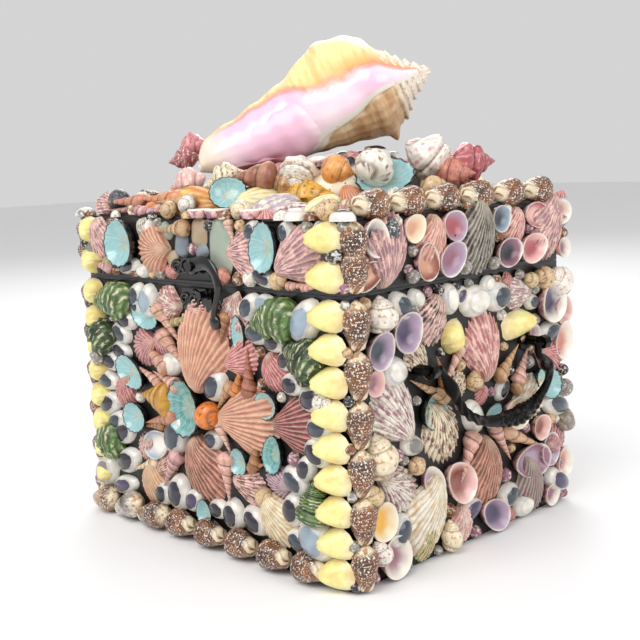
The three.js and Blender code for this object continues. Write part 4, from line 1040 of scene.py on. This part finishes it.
def conch_lip(rows=150, front=64, back=16):
    """The flared lip: at each place along the axis a quadratic curve from the fold on the body, over its
    front, to the lip's edge. The outer band is rumpled by sines that grow toward the edge, and the back is
    the front pushed inward by the shell's thickness."""
    t = np.linspace(0.015, 0.95, rows)[:, None]
    u = np.concatenate([np.linspace(0, 1, front), np.linspace(1, 0, back)])[None]
    behind = (np.arange(front + back) >= front)[None]
    radius, fold = smooth(CONCH_BODY, t), smooth(CONCH_FOLD, t)
    reach = smooth(CONCH_REACH, t) * (1 + 0.018 * np.sin(53 * t) + 0.02 * np.sin(24 * t + 1))
    start = np.sqrt(np.maximum(radius ** 2 - fold ** 2, 1)) + 0.7
    crest = 1.35 * radius + 5
    y = (1 - u) ** 2 * fold + 2 * u * (1 - u) * 0.6 * radius + u ** 2 * reach
    z = (1 - u) ** 2 * start + 2 * u * (1 - u) * crest - u ** 2 * (2 + 9 * t)
    band = np.clip((u - 0.5) / 0.5, 0, 1) ** 1.3
    ruck = np.sin(46 * t + 7 * u) + 0.7 * np.sin(93 * t - 5 * u) + 0.5 * np.sin(19 * t + 14 * u)
    z = z + band * ruck * (0.5 + 0.9 * t) - 3.5 * np.clip((u - 0.86) / 0.14, 0, 1) ** 2
    z = z + 0.9 * np.sin(11 * t + 2) * np.sin(math.pi * u)
    thick = (2.2 + 2.6 * t) * np.minimum(1, 0.25 + 6 * (1 - u)) * behind
    x = CONCH["length"] * t + 0 * u
    return np.stack([x, y - 0.5 * thick * u, z - thick], -1), {"along": t[:, 0]}, front / (front + back)


def conch_skin():
    """Tan, wrinkled and streaked outside, with a deep rose hollow low on the siphon's side."""
    f = Finish("conch_outside", roughness=0.5, coat_weight=0.1)
    around, along = f.wrap(0), f.wrap(1)
    streaks = f.noise(1.0, 4.0, f.point(around * 5 + along * 2.5, along * 26), 0.6)
    colour = f.mix(streaks.step(0.35, 0.65), "sand", "tan")
    colour = f.mix(f.noise(45.0, 3.0).step(0.5, 0.7) * 0.5, colour, "cream")
    colour = f.mix(along.step(0.82, 0.87) * 0.75, colour, "white")
    dirt = f.noise(260.0, 3.0).step(0.56, 0.7) * along.step(0.8, 0.86)
    colour = f.mix(dirt * 0.6, colour, "brown")
    line = along + around * 0.7 + f.noise(60.0, 3.0) * 0.05
    inside = line.step(0.81, 0.78) * around.step(0.6, 0.56)
    colour = f.mix(inside, colour, f.mix(f.noise(16.0).step(0.35, 0.65), "petal", "shell_pink"))
    colour = f.mix(line.step(0.76, 0.78) * line.step(0.83, 0.81) * around.step(0.6, 0.56), colour, "white")
    slit = around.step(0.33, 0.38) * around.step(0.5, 0.46) * along.step(0.37, 0.3) * along.step(0.05, 0.1)
    colour = f.mix(slit * 0.85, colour, "rose")
    rough = (1 - inside) * (streaks + f.noise(300.0, 4.0) * 0.4)
    return f.shade(colour, 0.55 - inside * 0.3, rough, 0.7, 0.0012)


def lip_skin(front):
    """Glossy lilac pink inside, a coral fringe, and a rumpled band from orange to pale yellow outside."""
    f = Finish("conch_lip_and_inside", roughness=0.24, coat_weight=0.5, coat_roughness=0.12)
    around, along = f.wrap(0), f.wrap(1)
    across = around * (1 / front)
    start = 0.96 - along * 0.28 - along.step(0.4, 0.56) * 0.28
    ragged = across + (f.noise(38.0, 4.0, None, 0.65) - 0.5) * 0.26 - start + 0.5
    pink = f.mix(f.noise(16.0, 2.0).step(0.35, 0.65), "petal", "shell_pink")
    pink = f.mix(along.step(0.2, 0.02) * 0.8, pink, "cream")
    pink = f.mix(along.step(0.78, 0.9) * 0.7, pink, "petal")
    pink = f.mix(across.step(0.1, 0.05) * along.step(0.44, 0.5), pink, "white")
    outer = f.mix(across.step(0.5, 0.8), "apricot", "butter")
    outer = f.mix(f.noise(1.0, 3.0, f.point(across * 3, along * 34)).step(0.45, 0.7) * 0.55, outer, "apricot")
    band = ragged.step(0.46, 0.53)
    fringe = ragged.step(0.4, 0.47) * ragged.step(0.6, 0.5)
    colour = f.mix(band, pink, outer)
    colour = f.mix(fringe * 0.65 * along.step(0.05, 0.25), colour, "coral")
    colour = f.mix(around.step(front, front + 0.02), colour, f.mix(f.noise(90.0, 3.0), "sand", "butter"))
    rucks = f.noise(1.0, 3.0, f.point(across * 4, along * 40)) * band
    return f.shade(colour, band * 0.3 + 0.2, rucks + f.noise(200.0, 3.0) * band * 0.5, 0.6, 0.0014)


# ---------------------------------------------------------------- metal
def rod(path, radius, depth=1.0, sides=14):
    """A round bar along a path parallel to its wall, as rings square to the path: each point lies radius
    times the cosine of its turn to the side, and depth times radius times the sine out of the wall."""
    along = np.gradient(path, axis=0)
    along /= np.linalg.norm(along, axis=1, keepdims=True)
    side = np.stack([-along[:, 1], along[:, 0], 0 * along[:, 0]], -1)[:, None]
    turn = (np.arange(sides) * math.tau / sides)[None, :, None]
    size = np.asarray(radius, float).reshape(-1, 1, 1)
    return path[:, None] + size * (np.cos(turn) * side + depth * np.sin(turn) * np.array([0, 0, 1.0]))


def curve(knots, count):
    """A smooth line of count points through knots of any number of values."""
    knots = np.array(knots, float)
    far = np.concatenate([[0], np.cumsum(np.linalg.norm(np.diff(knots[:, :2], axis=0), axis=1))])
    at = np.linspace(0, far[-1], count)
    return np.stack([smooth(np.stack([far, column], -1), at) for column in knots.T], -1)


# The bail's bow, as (along from the middle, down from the pivots, radius of the casting).
BAIL = [(-61, -1, 3.0), (-56, 4, 2.6), (-47, 16, 5.2), (-41, 25, 3.2), (-36, 32, 3.2), (-16, 45, 3.4),
        (0, 49, 4.4), (10, 50.5, 4.8), (24, 51.5, 6.2), (36, 51, 6.8), (48, 48, 5.6), (60, 43, 4.2),
        (70, 36, 3.3), (75, 30, 3.0), (76, 25, 3.6), (73, 19, 5.2), (68, 13, 3.4), (62, 9, 2.8),
        (61, -1, 3.0)]


def bail(pile, wall, pivot, sign):
    """One drop handle: a twisted bow with a fluted barrel, two balls and a pin in each eye."""
    out = abs(pivot.x) - HALF_X
    line = curve(BAIL, 150)
    path = np.stack([(pivot.y + line[:, 0]) * sign, pivot.z - line[:, 1], np.full(150, out)], -1)
    rope = np.clip((-8 - line[:, 0]) / 10, 0, 1) * np.clip((line[:, 1] - 18) / 8, 0, 1)
    fluted = np.clip((line[:, 0] - 2) / 8, 0, 1) * np.clip((66 - line[:, 0]) / 10, 0, 1)
    rings = rod(path, line[:, 2], 1.0, 30)
    turn = np.arange(30) * math.tau / 30
    wind = np.linspace(0, 1, 150)[:, None] * math.tau
    relief = (0.24 * rope[:, None] * np.cos(3 * turn - 17 * wind)
              + 0.12 * fluted[:, None] * (np.cos(6 * turn + 9 * wind) + 0.8 * np.cos(34 * wind)))
    middle = path[:, None]
    pile.add(wall.put(middle + (rings - middle) * (1 + relief[..., None])), "black")
    for end in (0, -1):
        away = 13.0 * (-1 if end == 0 else 1) * sign
        pin = path[end] + np.linspace(0, 1, 6)[:, None] * np.array([away, 0, 0])
        pile.add(wall.put(rod(pin, 2.0)), "black")


# The hook's spine from its pivot, with half its width.
HOOK = [(-2, 0, 5.4), (7, 2, 5.6), (14, 3, 5.4), (21, 0.5, 5), (26, -5, 4.4), (28.6, -14, 3.7),
        (26, -24, 2.7), (22.6, -33, 2.6), (22, -38, 3.4)]


def hook(pile):
    """The latch's crescent, raised along its middle, with an eye and a round thumb piece."""
    out = abs(PIVOT.y) - HALF_Y - 0.3
    line = curve(HOOK, 70)
    path = np.stack([PIVOT.x + line[:, 0], PIVOT.z + line[:, 1], np.full(70, out)], -1)
    outline, raised = rod(path, line[:, 2]), rod(path, 2.1)
    pile.add(FRONT.put(outline * [1, 1, 0] + raised * [0, 0, 1]), "black")
    for place, size, depth in (((0, 0), 6.4, 2.4), ((23, -40), 5.6, 2.4), ((0, 0), 3.6, 4.2)):
        knob = dome(2 * size, 2 * size, depth, 8, 24)[0]
        whole = np.concatenate([knob[:1] * [1, 1, 0] - [0, 0, 2.0], knob])
        pile.add(FRONT.put(whole, (PIVOT.x + place[0], PIVOT.z + place[1], out)), "black")


def curl(wall, pile, place, size, turns, start, sign, out):
    """A scroll of round rod that winds in to its middle as its radius falls evenly."""
    t = np.linspace(0, 1, 60)
    angle = math.radians(start) + sign * turns * math.tau * t
    radius = size * (1 - 0.8 * t)
    x, y = place[0] + radius * np.cos(angle), place[1] + radius * np.sin(angle)
    path = np.stack([x, y, np.full(60, out)], -1)
    pile.add(wall.put(rod(path, 1.5 - 0.6 * t, 0.9, 10)), "black")


# ---------------------------------------------------------------- settings
# Each light is (name, place in metres, side in metres, share of the key light's power).
LIGHTS = (("key", (0.2, -1.5, 1.7), 1.6, 1.0), ("fill", (1.9, 0.1, 1.1), 1.4, 0.5),
          ("rim", (-1.2, 1.2, 1.5), 1.2, 0.5))


class ShellBoxStage(bpy.types.PropertyGroup):
    """What surrounds the box."""
    floor_size: bpy.props.FloatProperty(
        name="Floor size", description="Side of the square floor", default=14.0, unit="LENGTH")
    floor_colour: bpy.props.FloatVectorProperty(name="Floor colour", description="Paint of the floor",
                                                default=(0.86, 0.86, 0.87), subtype="COLOR", min=0, max=1)
    key_power: bpy.props.FloatProperty(
        name="Key light", description="Power of the large soft light", default=32.0, unit="POWER")
    sky_light: bpy.props.FloatProperty(
        name="Sky light", description="Strength of the light all round", default=0.66, subtype="FACTOR")
    lens: bpy.props.FloatProperty(name="Lens", description="Focal length for a 36 mm sensor", default=59.3,
                                  subtype="NONE")
    camera_place: bpy.props.FloatVectorProperty(name="Camera", description="Where the camera stands",
                                                default=(0.621, -0.614, 0.294), subtype="TRANSLATION")
    camera_turn: bpy.props.FloatVectorProperty(
        name="Camera angles", description="Heading, pitch down and roll of the camera",
        default=(math.radians(45.4), math.radians(8.8), math.radians(-2.37)), subtype="EULER")


class ShellBoxGlue(bpy.types.PropertyGroup):
    """The black bed that the shells stand in."""
    thickness: bpy.props.FloatProperty(
        name="Glue thickness", description="How thick the glue lies on the wood", default=0.0024,
        unit="LENGTH")


# ---------------------------------------------------------------- operators
def dress_all(kinds, tag):
    """Makes one object on every face that has shells of these kinds."""
    for face in FACES:
        face.dress(kinds, tag)
    return {"FINISHED"}


class SHELLBOX_OT_woodwork(bpy.types.Operator):
    """Paint the carcase and the lid, and finish the plates, hinges and posts"""
    bl_idname = "shellbox.woodwork"
    bl_label = "Woodwork and fittings"

    def execute(self, context):
        looks = {"wood": lacquer_finish(), "iron": iron_finish(), "bronze": bronze_finish()}
        for name, node in frame["nodes"].items():
            look = ("wood" if name in ("carcase", "lid_case") else
                    "bronze" if name.startswith(("handle", "bail")) else "iron")
            node.data.materials.clear()
            node.data.materials.append(looks[look])
        return {"FINISHED"}


class SHELLBOX_OT_glue(bpy.types.Operator):
    """Spread the black glue bed on every face and over the heap"""
    bl_idname = "shellbox.glue"
    bl_label = "Glue beds"

    def execute(self, context):
        thick = context.scene.shell_box_glue.thickness / MM
        black = lacquer_finish("black_glue", 0.5, 0.1)
        for face in FACES[:-1]:
            pile = Pile()
            size = face.across[1] - face.across[0] - 20, face.up[1] - face.up[0] - 1
            slab, facts = dome(*size, thick, 5, 96, 40)
            slab[..., 1] = np.clip(slab[..., 1], -size[1] / 2, size[1] / 2)
            slab[..., 2] += 0.6
            middle = (sum(face.across) / 2, sum(face.up) / 2, 0)
            pile.add(face.wall.put(slab, middle), "black", **facts)
            pile.piece(f"{face.name}_glue", black, face.body, "black_wood")
        share = np.concatenate([np.linspace(0.02, 1, 46), [1.0]])[:, None]
        turn = (np.arange(120) * math.tau / 120)[None]
        square = (np.abs(np.cos(turn)) ** 12 + np.abs(np.sin(turn)) ** 12) ** (-1 / 12)
        x, y = HALF_X * share * np.cos(turn) * square, HALF_Y * share * np.sin(turn) * square
        z = heap_height(x, y) + thick - 1.5 + 0.6 * np.sin(0.21 * x) * np.sin(0.17 * y)
        z[-1] = 0.2
        pile = Pile()
        pile.add(TOP.put(np.stack([x, y, z], -1)), "black")
        pile.piece("heap_glue", black, "lid", "black_wood")
        return {"FINISHED"}


class SHELLBOX_OT_cockles(bpy.types.Operator):
    """Set the pale yellow cockles down the front corners"""
    bl_idname = "shellbox.cockles"
    bl_label = "Yellow cockles"

    def execute(self, context):
        return dress_all(("cockle",), "yellow_cockles")


class SHELLBOX_OT_spotted(bpy.types.Operator):
    """Set the spotted brown shells in their rows"""
    bl_idname = "shellbox.spotted"
    bl_label = "Spotted rows"

    def execute(self, context):
        return dress_all(("spotted",), "spotted_shells")


class SHELLBOX_OT_scallops(bpy.types.Operator):
    """Set the ribbed scallops and the smooth clams"""
    bl_idname = "shellbox.scallops"
    bl_label = "Scallops"

    def execute(self, context):
        dress_all(("scallop",), "scallops")
        return dress_all(("clam",), "clams")


class SHELLBOX_OT_turbans(bpy.types.Operator):
    """Set the green turbans and the top shells"""
    bl_idname = "shellbox.turbans"
    bl_label = "Green turbans"

    def execute(self, context):
        dress_all(("turban",), "green_turbans")
        return dress_all(("trochus",), "top_shells")


class SHELLBOX_OT_cowries(bpy.types.Operator):
    """Set the cowries with purple backs and the dotted dome"""
    bl_idname = "shellbox.cowries"
    bl_label = "Cowries"

    def execute(self, context):
        dress_all(("cowrie",), "cowries")
        return dress_all(("dotted",), "dotted_dome")


class SHELLBOX_OT_cups(bpy.types.Operator):
    """Set the limpets and open valves, hollow side out"""
    bl_idname = "shellbox.cups"
    bl_label = "Limpets and open valves"

    def execute(self, context):
        dress_all(("limpet",), "limpets")
        return dress_all(("cup",), "open_valves")


class SHELLBOX_OT_spires(bpy.types.Operator):
    """Set the augers, snails and whelks"""
    bl_idname = "shellbox.spires"
    bl_label = "Augers and snails"

    def execute(self, context):
        dress_all(("auger",), "augers")
        return dress_all(("snail", "whelk"), "snails")


class SHELLBOX_OT_fillers(bpy.types.Operator):
    """Set the sea glass and the small shells that fill the gaps"""
    bl_idname = "shellbox.fillers"
    bl_label = "Sea glass and fillers"

    def execute(self, context):
        dress_all(("glass",), "sea_glass")
        return dress_all(("pebble",), "small_shells")


class SHELLBOX_OT_conch(bpy.types.Operator):
    """Lay the queen conch on the heap"""
    bl_idname = "shellbox.conch"
    bl_label = "Queen conch"

    def execute(self, context):
        wall = conch_wall()
        body, lip = Pile(), Pile()
        rings, facts = conch_body()
        body.add(wall.put(rings), "tan", **facts)
        body.piece("conch_body", conch_skin(), "lid", "conch_shell", ["queen_conch"])
        rings, facts, front = conch_lip()
        lip.add(wall.put(rings), "blush", **facts)
        lip.piece("conch_lip", lip_skin(front), "lid", "conch_shell")
        return {"FINISHED"}


class SHELLBOX_OT_latch(bpy.types.Operator):
    """Make the hook and the scrolls on its two plates"""
    bl_idname = "shellbox.latch"
    bl_label = "Hook latch"

    def execute(self, context):
        iron = frame["nodes"]["latch_plate"].data.materials[0]
        crescent, lid_scrolls, body_scrolls = Pile(), Pile(), Pile()
        hook(crescent)
        crescent.piece("hook_crescent", iron, "hook", "black_iron", ["latch_hook"])
        for place, size, start, sign in (((-9, 217), 7, 0, 1), ((-20, 216), 5.5, 180, -1)):
            curl(FRONT, lid_scrolls, place, size, 1.6, start, sign, 5.4)
        lid_scrolls.piece("latch_plate_scrolls", iron, "lid", "black_iron")
        for place, size, start, sign in (((-2, 192), 7, 90, -1), ((-13, 192), 5.5, 270, 1)):
            curl(FRONT, body_scrolls, place, size, 1.6, start, sign, 5.4)
        body_scrolls.piece("catch_plate_scrolls", iron, "box", "black_iron")
        return {"FINISHED"}


class SHELLBOX_OT_bails(bpy.types.Operator):
    """Make the two cast drop handles"""
    bl_idname = "shellbox.bails"
    bl_label = "Drop handles"

    def execute(self, context):
        bronze = frame["nodes"]["bail_right"].data.materials[0]
        for side, wall, sign in (("right", RIGHT, 1), ("left", LEFT, -1)):
            pile = Pile()
            bail(pile, wall, JOINTS[f"{side}_bail_swing"], sign)
            pile.piece(f"drop_handle_{side}", bronze, f"bail_{side}", "dark_bronze", [f"bail_{side}"])
        return {"FINISHED"}


class SHELLBOX_OT_stage(bpy.types.Operator):
    """Set up the pale floor, the soft lights and the camera"""
    bl_idname = "shellbox.stage"
    bl_label = "Stage"

    def execute(self, context):
        scene, settings = context.scene, context.scene.shell_box_stage
        half = settings.floor_size / 2
        mesh = bpy.data.meshes.new("floor")
        corners = [(-half, -half, 0), (half, -half, 0), (half, half, 0), (-half, half, 0)]
        mesh.from_pydata(corners, [], [(0, 1, 2, 3)])
        paint = Finish("pale_floor", roughness=0.7, base_color=(*settings.floor_colour, 1))
        mesh.materials.append(paint.material)
        floor = bpy.data.objects.new("floor", mesh)
        scene.collection.objects.link(floor)
        for name, place, size, power in LIGHTS:
            light = bpy.data.lights.new(name, "AREA")
            light.energy, light.size = settings.key_power * power, size
            lamp = bpy.data.objects.new(name, light)
            lamp.location = place
            lamp.rotation_euler = (Vector((0, 0, 0.18)) - lamp.location).to_track_quat("-Z", "Y").to_euler()
            scene.collection.objects.link(lamp)
        scene.world = bpy.data.worlds.new("sky")
        scene.world.use_nodes = True
        sky = scene.world.node_tree.nodes["Background"]
        sky.inputs[0].default_value, sky.inputs[1].default_value = (1, 1, 1, 1), settings.sky_light
        camera = bpy.data.objects.new("camera", bpy.data.cameras.new("camera"))
        camera.data.lens, camera.data.sensor_width, camera.data.clip_start = settings.lens, 36, 0.01
        heading, pitch, roll = settings.camera_turn
        camera.location = settings.camera_place
        camera.rotation_mode = "XYZ"
        level = math.cos(pitch)
        sight = Vector((-math.sin(heading) * level, math.cos(heading) * level, -math.sin(pitch)))
        aim = sight.to_track_quat("-Z", "Y").to_matrix()
        camera.rotation_euler = (aim @ Matrix.Rotation(roll, 3, "Z")).to_euler()
        scene.collection.objects.link(camera)
        scene.camera = camera
        scene.view_settings.view_transform = "Standard"
        return {"FINISHED"}


class SHELLBOX_PT_panel(bpy.types.Panel):
    """Lists the box's pieces and settings"""
    bl_label = "Shell Box"
    bl_idname = "SHELLBOX_PT_panel"
    bl_space_type = "VIEW_3D"
    bl_region_type = "UI"
    bl_category = "Shell Box"

    def draw(self, context):
        for group in (context.scene.shell_box_stage, context.scene.shell_box_glue):
            for name in group.bl_rna.properties.keys():
                if name not in ("rna_type", "name"):
                    self.layout.prop(group, name)
        for operator in OPERATORS:
            self.layout.operator(operator.bl_idname)


OPERATORS = (SHELLBOX_OT_stage, SHELLBOX_OT_woodwork, SHELLBOX_OT_glue, SHELLBOX_OT_cockles,
             SHELLBOX_OT_spotted, SHELLBOX_OT_scallops, SHELLBOX_OT_turbans, SHELLBOX_OT_cowries,
             SHELLBOX_OT_cups, SHELLBOX_OT_spires, SHELLBOX_OT_fillers, SHELLBOX_OT_conch,
             SHELLBOX_OT_latch, SHELLBOX_OT_bails)
CLASSES = (ShellBoxStage, ShellBoxGlue, *OPERATORS, SHELLBOX_PT_panel)


def register():
    for each in CLASSES:
        bpy.utils.register_class(each)
    bpy.types.Scene.shell_box_stage = bpy.props.PointerProperty(type=ShellBoxStage)
    bpy.types.Scene.shell_box_glue = bpy.props.PointerProperty(type=ShellBoxGlue)


def unregister():
    del bpy.types.Scene.shell_box_glue
    del bpy.types.Scene.shell_box_stage
    for each in reversed(CLASSES):
        bpy.utils.unregister_class(each)


def main():
    """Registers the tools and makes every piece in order."""
    register()
    for operator in OPERATORS:
        group, name = operator.bl_idname.split(".")
        getattr(getattr(bpy.ops, group), name)()


if __name__ == "__main__":
    main()
